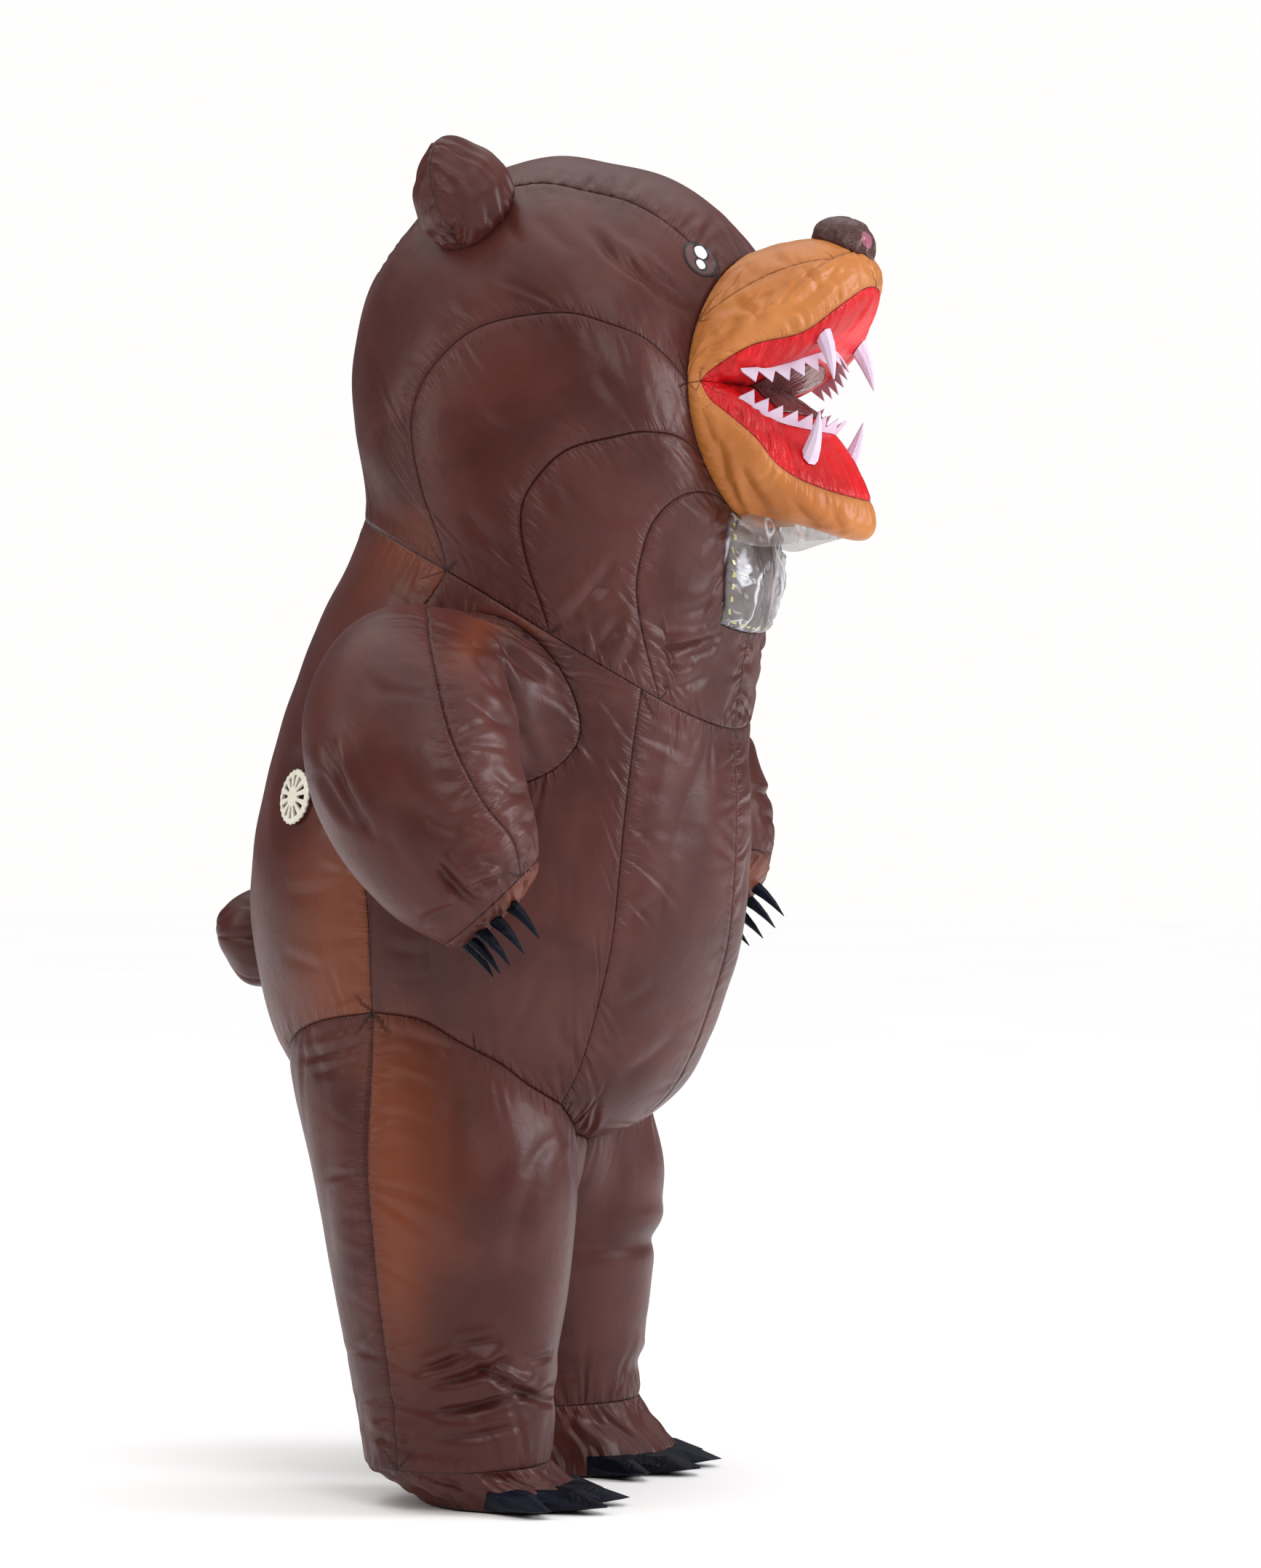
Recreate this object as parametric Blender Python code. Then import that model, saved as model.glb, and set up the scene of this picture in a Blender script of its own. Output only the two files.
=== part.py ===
"""Inflatable bear costume, blown up and upright as when worn.

Frame: metres, +Z up, the bear faces -Y and its left is +X. The origin is at the wearer's
shoulders, on the costume's middle line. Heights in the tables are above the soles.

The cloth is one hollow skin. The body and head are planar rings: each runs from a point of the
back outline to a point of the front outline, and the rings turn about the throat until the last
one is the seam of the muzzle. A place on that skin is (ring number, angle), with the angle 0 at
the front, 90 at the side and 180 at the back. Every panel is a grid between its four seams, and
panels that share a seam share its points. Normals are averaged over all panels, so that walls
are mitred at the seams, and each panel's edges are drawn back by half the seam gap.
"""

import math

import bpy
import numpy as np
from mathutils import Vector
from mathutils.bvhtree import BVHTree

SHOULDER_HEIGHT = 1.40
WALL = 0.002
VINYL = 0.0012
SEAM_GAP = 0.0003
LAID_ON_GAP = 0.0008
FOOT_GAP = 0.0004
MOST_MITRE = 2.5
CLEAR_ROUNDS = 4
SEAM_ORDER = (1.0, 1.7, 3.1)

# Points inside the air: forward, to the right side, height. A panel faces away from its own one.
IN_BODY = (0.0, 0.0, 1.10)
IN_HEAD = (0.15, 0.0, 1.85)
IN_BRIDGE = (0.52, 0.0, 2.02)
IN_JAW = (0.52, 0.0, 1.68)
IN_HAND = (0.16, 0.59, 1.09)
IN_SLEEVE = (0.06, 0.56, 1.24)
IN_LEG = (-0.01, 0.21, 0.40)

# back forward, back height, front forward, front height, half width, side set back, side rise
BODY_RINGS = (
    (-0.120, 0.588, 0.138, 0.588, 0.015, 0.0, 0.0),
    (-0.190, 0.602, 0.195, 0.602, 0.120, 0.0, 0.0),
    (-0.250, 0.626, 0.250, 0.626, 0.200, 0.0, 0.0),
    (-0.325, 0.674, 0.303, 0.674, 0.290, 0.0, 0.0),
    (-0.372, 0.735, 0.338, 0.731, 0.345, 0.0, 0.0),
    (-0.402, 0.815, 0.369, 0.806, 0.385, 0.0, 0.0),
    (-0.424, 0.940, 0.405, 0.920, 0.414, 0.0, 0.0),
    (-0.424, 1.060, 0.418, 1.030, 0.420, 0.0, 0.0),
    (-0.398, 1.200, 0.422, 1.120, 0.415, 0.0, 0.005),
    (-0.355, 1.340, 0.422, 1.190, 0.405, 0.0, 0.015),
    (-0.300, 1.475, 0.420, 1.240, 0.398, 0.0, 0.030),
    (-0.213, 1.655, 0.419, 1.290, 0.400, 0.0, 0.045),
    (-0.226, 1.820, 0.428, 1.360, 0.408, 0.0, 0.030),
    (-0.228, 1.950, 0.440, 1.430, 0.408, 0.0, 0.015),
    (-0.190, 2.080, 0.452, 1.475, 0.400, 0.0, 0.0),
    (-0.110, 2.180, 0.456, 1.510, 0.392, 0.0, 0.0),
    (0.000, 2.232, 0.458, 1.540, 0.380, 0.0, 0.0),
    (0.115, 2.259, 0.459, 1.565, 0.362, 0.0, 0.0),
    (0.210, 2.242, 0.460, 1.585, 0.338, 0.005, 0.0),
    (0.300, 2.215, 0.460, 1.600, 0.305, 0.015, 0.0),
    (0.385, 2.160, 0.460, 1.613, 0.268, 0.030, 0.0),
    (0.458, 2.080, 0.460, 1.624, 0.230, 0.043, 0.0),
)
NECK_RING = 11
MUZZLE_RING = 21

# Angles of the seam points on the neck seam, from the centre front to the centre back.
NECK_ANGLES = np.concatenate(
    [
        np.linspace(0, 34, 9),
        np.linspace(40, 67, 4),
        np.linspace(77.3, 98, 3),
        np.linspace(108.2, 180, 8),
    ]
)
THROAT_AT_NECK, BELLY_AT_NECK, CHEEK_AT_NECK, SIDE_AT_NECK = 8, 9, 12, 15
# Angles of the seam points on the muzzle seam, from under the jaw to the top of the bridge.
MUZZLE_ANGLES = np.concatenate(
    [
        np.linspace(0, 36, 5),
        np.linspace(42, 60, 4),
        np.linspace(70, 90, 3),
        np.linspace(94.5, 117, 6),
        np.linspace(129.6, 180, 5),
    ]
)
WINDOW_AT_MUZZLE, THROAT_AT_MUZZLE, JOWL_AT_MUZZLE = 3, 4, 8
CORNER_AT_MUZZLE, BRIDGE_AT_MUZZLE, CROWN_AT_MUZZLE = 11, 17, 19

# Seams as (ring, angle) knots.
HIP_SEAM = {
    "belly": ((0.0, 0), (1.2, 36), (2.1, 44), (2.85, 50)),
    "side": ((2.85, 50), (3.45, 59), (4.1, 67), (4.55, 76), (5.0, 86), (5.1, 99)),
    "back": ((5.1, 99), (4.85, 120), (4.3, 139), (3.3, 155), (1.8, 165), (0.0, 180)),
}
BELLY_SEAM = ((2.85, 50), (4.0, 45), (6.0, 42), (8.5, 41), (11.0, 40))
SIDE_SEAM = ((5.1, 99), (6.5, 99), (8.0, 104), (9.6, 107), (11.0, 98))
CHEEK_SEAM = ((21.0, 90), (19.6, 92), (17.5, 96), (15.4, 104), (13.6, 110), (12.4, 108), (11.0, 98))
JOWL_SEAM = ((21.0, 60), (19.0, 62), (16.5, 66), (14.2, 74), (12.6, 75), (11.0, 67))
THROAT_SEAM = ((21.0, 36), (18.5, 42), (15.5, 46), (13.0, 44), (11.0, 34))
CROWN_SEAM = ((21.0, 142.2), (19.0, 143), (17.0, 144), (15.5, 150), (14.0, 164))
CROWN_END_RING, CROWN_END_ANGLE = 14.0, 164
WINDOW_FOOT_RING, WINDOW_FOOT_ANGLE = 13.4, 16

BODY_ROWS = 7
HEAD_CELLS = 12
CROWN_ROWS, CROWN_END_CELLS, HEAD_BACK_CELLS = 6, 3, 3
WINDOW_ROWS, WINDOW_FOOT_CELLS = 4, 3

ARMHOLE_RING, ARMHOLE_ANGLE = 9.6, 76
ARMHOLE_RING_REACH, ARMHOLE_ANGLE_REACH = 1.25, 21.5
ARMHOLE_STEPS = 4

# forward, side, height of the middle, then radius, for the right sleeve from shoulder to hand
SLEEVE_SECTIONS = (
    (0.040, 0.400, 1.340, 0.160),
    (0.040, 0.455, 1.338, 0.146),
    (0.046, 0.510, 1.322, 0.156),
    (0.065, 0.562, 1.278, 0.166),
    (0.095, 0.605, 1.200, 0.160),
    (0.135, 0.605, 1.125, 0.147),
    (0.170, 0.590, 1.065, 0.131),
    (0.205, 0.568, 1.010, 0.098),
)
SLEEVE_TWIST = -60
PALM_BULGE = 0.030

# height, middle forward, middle side, radius forward, radius sideways
LEG_SECTIONS = (
    (0.04, 0.004, 0.215, 0.152, 0.152),
    (0.12, 0.002, 0.215, 0.158, 0.156),
    (0.22, -0.004, 0.215, 0.168, 0.165),
    (0.32, -0.008, 0.214, 0.186, 0.180),
    (0.45, -0.012, 0.214, 0.206, 0.191),
    (0.58, -0.016, 0.214, 0.227, 0.192),
    (0.80, -0.016, 0.214, 0.227, 0.192),
)
LEG_ROWS = 8
LEG_BLEND = 0.38
CROTCH_CELLS = 2
HEM_HEIGHT = {"right": 0.068, "left": 0.120}
# Soft folds round a leg: side, height, depth, half height, middle angle, half spread of angle
LEG_FOLDS = (
    ("left", 0.395, 0.010, 0.022, 20, 110),
    ("right", 0.175, 0.007, 0.020, 30, 70),
    ("left", 0.175, 0.006, 0.020, 40, 90),
)
# height, middle forward, radius forward, radius sideways
FOOT_SECTIONS = {
    "right": ((0.050, 0.020, 0.150, 0.135), (0.020, 0.070, 0.150, 0.110), (0.001, 0.090, 0.142, 0.100)),
    "left": ((0.085, 0.015, 0.163, 0.150), (0.040, 0.050, 0.175, 0.148), (0.001, 0.062, 0.174, 0.150)),
}
FOOT_GATHERS, FOOT_GATHER_DEPTH = 9, 0.006

# forward, side, height along each lip, from the mouth corner to the middle of the front
UPPER_LIP = (
    (0.435, 0.222, 1.855),
    (0.455, 0.215, 1.876),
    (0.515, 0.192, 1.914),
    (0.586, 0.145, 1.937),
    (0.633, 0.095, 1.983),
    (0.661, 0.045, 2.016),
    (0.668, 0.000, 2.024),
)
LOWER_LIP = (
    (0.435, 0.222, 1.855),
    (0.449, 0.216, 1.826),
    (0.483, 0.206, 1.797),
    (0.519, 0.190, 1.763),
    (0.548, 0.170, 1.722),
    (0.578, 0.140, 1.697),
    (0.614, 0.095, 1.680),
    (0.642, 0.050, 1.671),
    (0.657, 0.000, 1.667),
)
THROAT_FORWARD, THROAT_BULGE, THROAT_SIDE, THROAT_HEIGHT = 0.452, 0.033, 0.200, 1.855
JAW_ROWS, LINING_ROWS = 5, 4
BRIDGE_FOOT = (0.62, 0.66)

EAR_RING, EAR_ANGLE = 15.9, 136
EAR_WIDTH, EAR_HEIGHT, EAR_DEPTH, EAR_RIM_START = 0.185, 0.150, 0.130, 0.030
EAR_FOOT = 0.43
EAR_LEAN = (-0.10, 0.10, 0.35)
EAR_CELLS, EAR_ROWS = 8, 4

# forward, height of the tail's foot
TAIL_FOOT = (-0.428, 0.930)
TAIL_RADIUS, TAIL_GORES, TAIL_STAND, TAIL_SEAM_DRAW = 0.086, 6, 0.018, 0.06
TAIL_LIFTS = (-12, 12, 38, 64, 90)

NOSE_MIDDLE = (0.612, 2.095)
NOSE_LONG_AXIS = (0.0, -1.0, -0.12)
NOSE_LENGTH, NOSE_WIDTH, NOSE_RISE = 0.110, 0.105, 0.030
DOME_RIM = 0.001

TEETH, TEETH_ROW, TEETH_SPAN = 14, 2, (0.13, 0.87)
TOOTH_HEIGHT, TOOTH_WEB, FELT = 0.030, 0.007, 0.0018
CANINE_ROW, CANINE_SPAN = 1, (0.34, 0.66)
CANINE_LENGTH, CANINE_RADIUS = 0.068, 0.017
PATCH_COLUMNS, PATCH_ROWS, PATCH_MARGIN = (7, 16), 2, 0.35

CLAW_ANGLES = (40, 65, 88, 111, 134)
CLAW_INSET, CLAW_LENGTH, CLAW_RADIUS = 0.80, 0.068, 0.012
CLAW_DIRECTION = (-0.12, -0.80, -0.55)

TOES, TOE_STEPS, TOE_SPREAD = 4, 6, 48
TOE_REACH, TOE_CLAW, TOE_TIP_HEIGHT = 0.012, 0.070, 0.012
TOE_HEIGHTS = (0.004, 0.020, 0.036)
TOE_RAY = 0.5

FAN_RING, FAN_ANGLE = 7.9, 127
FAN_RADIUS, FAN_PLATE, FAN_SLOTS, FAN_SLOT_ROW = 0.047, 0.003, 12, 1
FAN_RINGS = (0.20, 0.36, 0.78, 0.92, 1.0)
FAN_NOTCH = 0.945

COLOURS = {
    "brown": (0.105, 0.040, 0.032, 1),
    "tan": (0.560, 0.240, 0.060, 1),
    "red": (0.800, 0.008, 0.010, 1),
    "dark": (0.080, 0.020, 0.020, 1),
    "black": (0.006, 0.006, 0.012, 1),
    "white": (0.860, 0.830, 0.880, 1),
    "cream": (0.760, 0.740, 0.650, 1),
    "clear": (0.700, 0.720, 0.780, 1),
}
ROUGHNESS = {"dark": 0.25, "clear": 0.12, "cream": 0.45}


def material(name):
    """The finish called name, made once."""
    found = bpy.data.materials.get(name)
    if found:
        return found
    made = bpy.data.materials.new(name)
    made.use_nodes = True
    shader = made.node_tree.nodes["Principled BSDF"]
    shader.inputs["Base Color"].default_value = COLOURS[name]
    shader.inputs["Roughness"].default_value = ROUGHNESS.get(name, 0.5)
    shader.inputs["Metallic"].default_value = 0.0
    made.diffuse_color = COLOURS[name]
    return made


def smooth_rows(table, where):
    """Catmull-Rom curve through a table's rows, read at fractional row numbers."""
    rows = np.asarray(table, float)
    last = len(rows) - 1
    where = np.clip(np.asarray(where, float), 0, last)
    start = np.minimum(where.astype(int), last - 1)
    u = (where - start)[..., None]
    before = rows[np.maximum(start - 1, 0)]
    here = rows[start]
    there = rows[start + 1]
    after = rows[np.minimum(start + 2, last)]
    square = 2 * before - 5 * here + 4 * there - after
    cube = 3 * here - before - 3 * there + after
    return 0.5 * (2 * here + (there - before) * u + square * u**2 + cube * u**3)


def right_point(forward, side, height):
    """A point on the right half, from distances forward, to the side and up."""
    return np.stack(np.broadcast_arrays(-side, -forward, height), -1).astype(float)


def body_point(place):
    """The skin's point at (ring, angle), on the right half."""
    ring, angle = place[..., 0], np.radians(place[..., 1])
    back, back_height, front, front_height, half, set_back, rise = np.moveaxis(
        smooth_rows(BODY_RINGS, ring), -1, 0
    )
    along, beside = np.cos(angle), np.sin(angle) ** 2
    forward = (front + back) / 2 + (front - back) / 2 * along - set_back * beside
    height = (front_height + back_height) / 2 + (front_height - back_height) / 2 * along + rise * beside
    return right_point(forward, half * np.sin(angle), height)


def even_curve(table, cells, to_space=lambda points: points):
    """Points at equal steps of real length along the smooth curve through a table."""
    dense = smooth_rows(table, np.linspace(0, len(table) - 1, 400))
    steps = np.linalg.norm(np.diff(to_space(dense), axis=0), axis=1)
    length = np.concatenate([[0], np.cumsum(steps)])
    wanted = np.linspace(0, length[-1], cells + 1)
    return np.stack([np.interp(wanted, length, column) for column in dense.T], -1)


def seam(knots, cells):
    return even_curve(knots, cells, body_point)


def joined(*pieces):
    """Curves end to end, each shared point once."""
    return np.concatenate([pieces[0]] + [piece[1:] for piece in pieces[1:]])


def fill(bottom, top, left, right):
    """The grid between four curves: the two ruled surfaces less the one through the corners."""
    rows, columns = len(left), len(bottom)
    a = np.linspace(0, 1, columns)[None, :, None]
    b = np.linspace(0, 1, rows)[:, None, None]
    across = (1 - b) * bottom[None] + b * top[None]
    upward = (1 - a) * left[:, None] + a * right[:, None]
    corners = (1 - b) * ((1 - a) * bottom[0] + a * bottom[-1]) + b * ((1 - a) * top[0] + a * top[-1])
    return across + upward - corners


def mirrored(grid):
    """The left half's grid, its columns turned round so that it still faces out."""
    return grid[:, ::-1] * np.array([-1.0, 1.0, 1.0])


def full_width(grid):
    """A right half whose last column is on the middle line, and its mirror image, as one grid."""
    return np.concatenate([grid, mirrored(grid)[:, 1:]], axis=1)


class Panels:
    """The cloth panels: grids of points on the outer face, and how each is finished."""

    def __init__(self):
        self.grids, self.finish = {}, {}

    def add(self, name, grid, finish, inside, pillow=0.006, wrap=False, pole=False, wall=WALL):
        """Adds a panel, its columns turned round if need be, so that it faces away from `inside`."""
        self.grids[name] = grid
        self.finish[name] = {"finish": finish, "pillow": pillow, "wrap": wrap, "pole": pole, "wall": wall}
        away = grid - np.array(right_point(*inside))
        if (self.own_normals(name) * away).sum() < 0:
            self.grids[name] = grid[:, ::-1]

    def add_pair(self, name, grid, finish, inside, **options):
        forward, side, height = inside
        self.add(f"{name}_right", grid, finish, inside, **options)
        self.add(f"{name}_left", mirrored(grid), finish, (forward, -side, height), **options)

    def own_normals(self, name):
        """Area-weighted normals of one panel's points."""
        grid = self.grids[name]
        normals = np.zeros_like(grid)
        wrap = self.finish[name]["wrap"]
        ring = np.concatenate([grid, grid[:, :1]], axis=1) if wrap else grid
        face = np.cross(ring[1:, 1:] - ring[:-1, :-1], ring[1:, :-1] - ring[:-1, 1:])
        columns = grid.shape[1]
        for row in (0, 1):
            for column in (0, 1):
                held = np.zeros_like(normals)
                width = face.shape[1]
                place = (np.arange(width) + column) % columns
                held[row : row + face.shape[0], place] = face
                normals += held
        return normals

    def shared_normals(self):
        """Unit normals averaged over every panel that meets at a point, and the mitre there."""
        own = {name: self.own_normals(name) for name in self.grids}
        points = np.concatenate([grid.reshape(-1, 3) for grid in self.grids.values()])
        flat = np.concatenate([unit(own[name]).reshape(-1, 3) for name in self.grids])
        keys = np.round(points * 1e5).astype(np.int64)
        index = np.unique(keys, axis=0, return_inverse=True)[1].reshape(-1)
        total = np.zeros((index.max() + 1, 3))
        np.add.at(total, index, flat)
        shared = unit(total)[index]
        least = np.ones(len(total))
        np.minimum.at(least, index, (shared * flat).sum(-1))
        mitre = 1 / np.maximum(least, 1 / MOST_MITRE)[index]
        found, start = {}, 0
        for name, grid in self.grids.items():
            size = grid.shape[0] * grid.shape[1]
            part = slice(start, start + size)
            found[name] = (shared[part].reshape(grid.shape), mitre[part].reshape(grid.shape[:2]))
            start += size
        return found

    def puff(self):
        """Air pushes each panel out between its seams."""
        normals = self.shared_normals()
        for name, grid in self.grids.items():
            options = self.finish[name]
            rise = hump(grid.shape[0])[:, None]
            if options["pole"]:
                rise = np.sqrt(1 - np.linspace(1, 0, grid.shape[0]) ** 2)[:, None]
            if not options["wrap"]:
                rise = rise * hump(grid.shape[1])[None, :]
            self.grids[name] = grid + normals[name][0] * (rise * options["pillow"])[..., None]


def unit(vectors):
    return vectors / np.maximum(np.linalg.norm(vectors, axis=-1, keepdims=True), 1e-12)


def hump(count):
    """0 at both ends and 1 in the middle, steep at the ends as taut cloth is."""
    along = np.linspace(0, 1, count)
    return np.sqrt(4 * along * (1 - along))


def edge_shift(grid, options):
    """How far each point moves in its own surface to leave half the seam gap at the edges."""
    shift = np.zeros_like(grid)
    half = SEAM_GAP / 2

    def draw_back(edge, inner):
        if options["wrap"]:
            tangent = np.roll(edge, -1, axis=0) - np.roll(edge, 1, axis=0)
        else:
            tangent = np.gradient(edge, axis=0)
        tangent = unit(tangent)
        inward = inner - edge
        inward = inward - (inward * tangent).sum(-1, keepdims=True) * tangent
        return unit(inward) * half

    shift[0] += draw_back(grid[0], grid[1])
    if not options["pole"]:
        shift[-1] += draw_back(grid[-1], grid[-2])
    if not options["wrap"]:
        columns = grid.swapaxes(0, 1)
        shift[:, 0] += draw_back(columns[0], columns[1])
        shift[:, -1] += draw_back(columns[-1], columns[-2])
    return shift


def other_cut_from(name, options, columns):
    """The column from which cells are cut the other way, so that left mirrors right."""
    if name.endswith("_left"):
        return 0
    return columns if options["wrap"] or name.endswith("_right") else columns // 2


def grid_faces(rows, columns, wrap, start=0, other_from=None):
    """The triangles of a grid numbered row by row; cells are cut the other way from one column on."""
    row, column = np.meshgrid(np.arange(rows - 1), np.arange(columns - (0 if wrap else 1)), indexing="ij")
    along = (column + 1) % columns
    a, b = row * columns + column, row * columns + along
    c, d = b + columns, a + columns
    later = (column >= (columns if other_from is None else other_from))[..., None]
    cut = np.where(later, np.stack([a, b, d, b, c, d], -1), np.stack([a, b, c, a, c, d], -1))
    return (cut + start).reshape(-1, 3).tolist()


def strip(a, b, size, falling):
    """The two triangles between an outer edge and its inner one, cut alike on both sides of a seam."""
    if falling:
        return [[b, a, b + size], [a, a + size, b + size]]
    return [[b, a, a + size], [b, a + size, b + size]]


def add_object(name, points, faces, finish, smooth_angle=40):
    """A mesh object at the origin, with its doubles merged and its heights from the shoulders."""
    points = np.asarray(points, float) - np.array([0, 0, SHOULDER_HEIGHT])
    keys = np.round(points * 1e6).astype(np.int64)
    first, index = np.unique(keys, axis=0, return_index=True, return_inverse=True)[1:]
    index = index.reshape(-1)
    kept = []
    for face in faces:
        ring = [int(index[corner]) for corner in face]
        ring = [corner for place, corner in enumerate(ring) if corner != ring[place - 1]]
        if len(ring) >= 3:
            kept.append(ring)
    merged = points[first]
    volume = sum(
        merged[face[0]] @ np.cross(merged[face[i]], merged[face[i + 1]])
        for face in kept
        for i in range(1, len(face) - 1)
    )
    if volume < 0:
        kept = [face[::-1] for face in kept]
    mesh = bpy.data.meshes.new(name)
    mesh.from_pydata(merged.tolist(), [], kept)
    mesh.shade_smooth()
    mesh.set_sharp_from_angle(angle=math.radians(smooth_angle))
    mesh.materials.append(material(finish))
    made = bpy.data.objects.new(name, mesh)
    bpy.context.scene.collection.objects.link(made)
    return made


def wall_object(name, grid, normals, mitre, options):
    """A panel as a closed wall: its outer face, its inner face, and the edges between them."""
    outer = grid + edge_shift(grid, options)
    inner = outer - normals * mitre[..., None] * options["wall"]
    if name.endswith(("_right", "_left")):
        sign = -1 if name.endswith("_right") else 1
        for face in (outer, inner):
            face[..., 0] = sign * np.maximum(face[..., 0] * sign, SEAM_GAP / 2)
    rows, columns = grid.shape[:2]
    wrap, size = options["wrap"], grid.shape[0] * grid.shape[1]
    other_from = other_cut_from(name, options, columns)
    faces = grid_faces(rows, columns, wrap, 0, other_from)
    faces += [face[::-1] for face in grid_faces(rows, columns, wrap, size, other_from)]
    top = [(rows - 1) * columns + column for column in range(columns)]
    if wrap:
        loops = [list(range(columns)) + [0]]
        if not options["pole"]:
            loops.append(top[::-1] + [top[-1]])
    else:
        right = [row * columns + columns - 1 for row in range(rows)]
        left = [row * columns for row in range(rows)]
        loops = [list(range(columns)) + right[1:] + top[-2::-1] + left[-2::-1]]
    order = np.abs(grid.reshape(-1, 3)) @ SEAM_ORDER
    for loop in loops:
        for a, b in zip(loop, loop[1:]):
            faces += strip(a, b, size, order[a] > order[b])
    points = np.concatenate([outer.reshape(-1, 3), inner.reshape(-1, 3)])
    return add_object(name, points, faces, options["finish"])


def stuffed(name, sections, finish, smooth_angle=50):
    """A stuffed piece from rings of points, closed at a middle point of its first and last ring."""
    rings = [np.repeat(sections[0].mean(0)[None], len(sections[0]), 0)] + list(sections)
    rings.append(np.repeat(sections[-1].mean(0)[None], len(sections[0]), 0))
    grid = np.stack(rings)
    faces = grid_faces(grid.shape[0], grid.shape[1], True)
    return add_object(name, grid.reshape(-1, 3), faces, finish, smooth_angle)


def horn(name, base, seat, direction, bend, length, radius, finish, sides=8, steps=4):
    """A stuffed cone that stands flat on its seat and bends as it narrows."""
    seat, direction, bend = (unit(np.array(vector, float)) for vector in (seat, direction, bend))
    turn = np.arange(sides) * 2 * np.pi / sides
    sections = []
    for step in np.linspace(0, 1, steps + 1):
        axis = unit(seat + (direction - seat) * min(1, 2.5 * step))
        across = unit(np.cross(axis, bend))
        other = np.cross(axis, across)
        middle = base + direction * (length * step) + bend * (length * 0.22 * step**2)
        size = radius * ((1 - step) ** 0.75 * 0.93 + 0.07)
        sections.append(middle + size * (np.cos(turn)[:, None] * across + np.sin(turn)[:, None] * other))
    return stuffed(name, sections, finish)


def body_seams():
    """The seams' points as (ring, angle), shared by the panels on both sides of them."""
    neck = np.stack([np.full(len(NECK_ANGLES), float(NECK_RING)), NECK_ANGLES], -1)
    muzzle = np.stack([np.full(len(MUZZLE_ANGLES), float(MUZZLE_RING)), MUZZLE_ANGLES], -1)
    hip_cells = {
        "belly": BELLY_AT_NECK,
        "side": SIDE_AT_NECK - BELLY_AT_NECK,
        "back": len(NECK_ANGLES) - 1 - SIDE_AT_NECK,
    }
    hip = {name: seam(knots, hip_cells[name]) for name, knots in HIP_SEAM.items()}
    window_foot = (WINDOW_FOOT_RING, WINDOW_FOOT_ANGLE)
    crown_end = (CROWN_END_RING, CROWN_END_ANGLE)
    return {
        "neck": neck,
        "muzzle": muzzle,
        "hip": hip,
        "front": seam(((0, 0), (4, 0), (8, 0), (11, 0)), BODY_ROWS),
        "belly": seam(BELLY_SEAM, BODY_ROWS),
        "side": seam(SIDE_SEAM, BODY_ROWS),
        "back": seam(((0, 180), (4, 180), (8, 180), (11, 180)), BODY_ROWS),
        "cheek": seam(CHEEK_SEAM, HEAD_CELLS),
        "jowl": seam(JOWL_SEAM, HEAD_CELLS),
        "throat": seam(THROAT_SEAM, HEAD_CELLS),
        "crown": seam(CROWN_SEAM, CROWN_ROWS),
        "crown_end": seam((crown_end, (CROWN_END_RING, 180)), CROWN_END_CELLS),
        "head_back": seam(((CROWN_END_RING, 180), (12.5, 180), (NECK_RING, 180)), HEAD_BACK_CELLS),
        "bridge": seam(((CROWN_END_RING, 180), (17.5, 180), (MUZZLE_RING, 180)), CROWN_ROWS),
        "window_side": seam((muzzle[WINDOW_AT_MUZZLE], window_foot), WINDOW_ROWS),
        "window_foot": seam((window_foot, (WINDOW_FOOT_RING, 0)), WINDOW_FOOT_CELLS),
        "throat_middle": seam(((WINDOW_FOOT_RING, 0), (12.2, 0), (NECK_RING, 0)), HEAD_CELLS),
    }


def side_panel(seams):
    """The side, as a grid from the armhole's loop out to the panel's four seams."""
    hip = seams["hip"]["side"]
    middle = len(hip) // 2
    neck = seams["neck"][BELLY_AT_NECK : SIDE_AT_NECK + 1]
    edge = joined(hip[middle::-1], seams["belly"], neck, seams["side"][::-1], hip[: middle - 1 : -1])[:-1]
    away = edge - np.array([ARMHOLE_RING, ARMHOLE_ANGLE])
    turn = np.arctan2(away[:, 0] / ARMHOLE_RING_REACH, -away[:, 1] / ARMHOLE_ANGLE_REACH)
    turn = np.unwrap(turn)
    even = np.linspace(-np.pi / 2, 1.5 * np.pi, len(edge) + 1)[:-1]
    turn = 0.45 * turn + 0.55 * even
    reach = np.stack([np.sin(turn) * ARMHOLE_RING_REACH, -np.cos(turn) * ARMHOLE_ANGLE_REACH], -1)
    hole = np.array([ARMHOLE_RING, ARMHOLE_ANGLE]) + reach
    along = np.linspace(0, 1, ARMHOLE_STEPS + 1)[:, None, None] ** 1.15
    grid = (1 - along) * hole[None] + along * edge[None]
    return body_point(grid[::-1]), body_point(hole), turn


def add_body(panels, seams):
    """The body's six panels. Returns the armhole's points and their angles."""
    neck, hip = seams["neck"], seams["hip"]
    belly = fill(hip["belly"], neck[: BELLY_AT_NECK + 1], seams["front"], seams["belly"])
    back = fill(hip["back"], neck[SIDE_AT_NECK:], seams["side"], seams["back"])
    panels.add_pair("belly", body_point(belly), "brown", IN_BODY, pillow=0.005)
    panels.add_pair("back", body_point(back), "brown", IN_BODY, pillow=0.006)
    side, hole, turn = side_panel(seams)
    panels.add_pair("side", side, "brown", IN_BODY, pillow=0.004, wrap=True)
    return hole, turn


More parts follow.
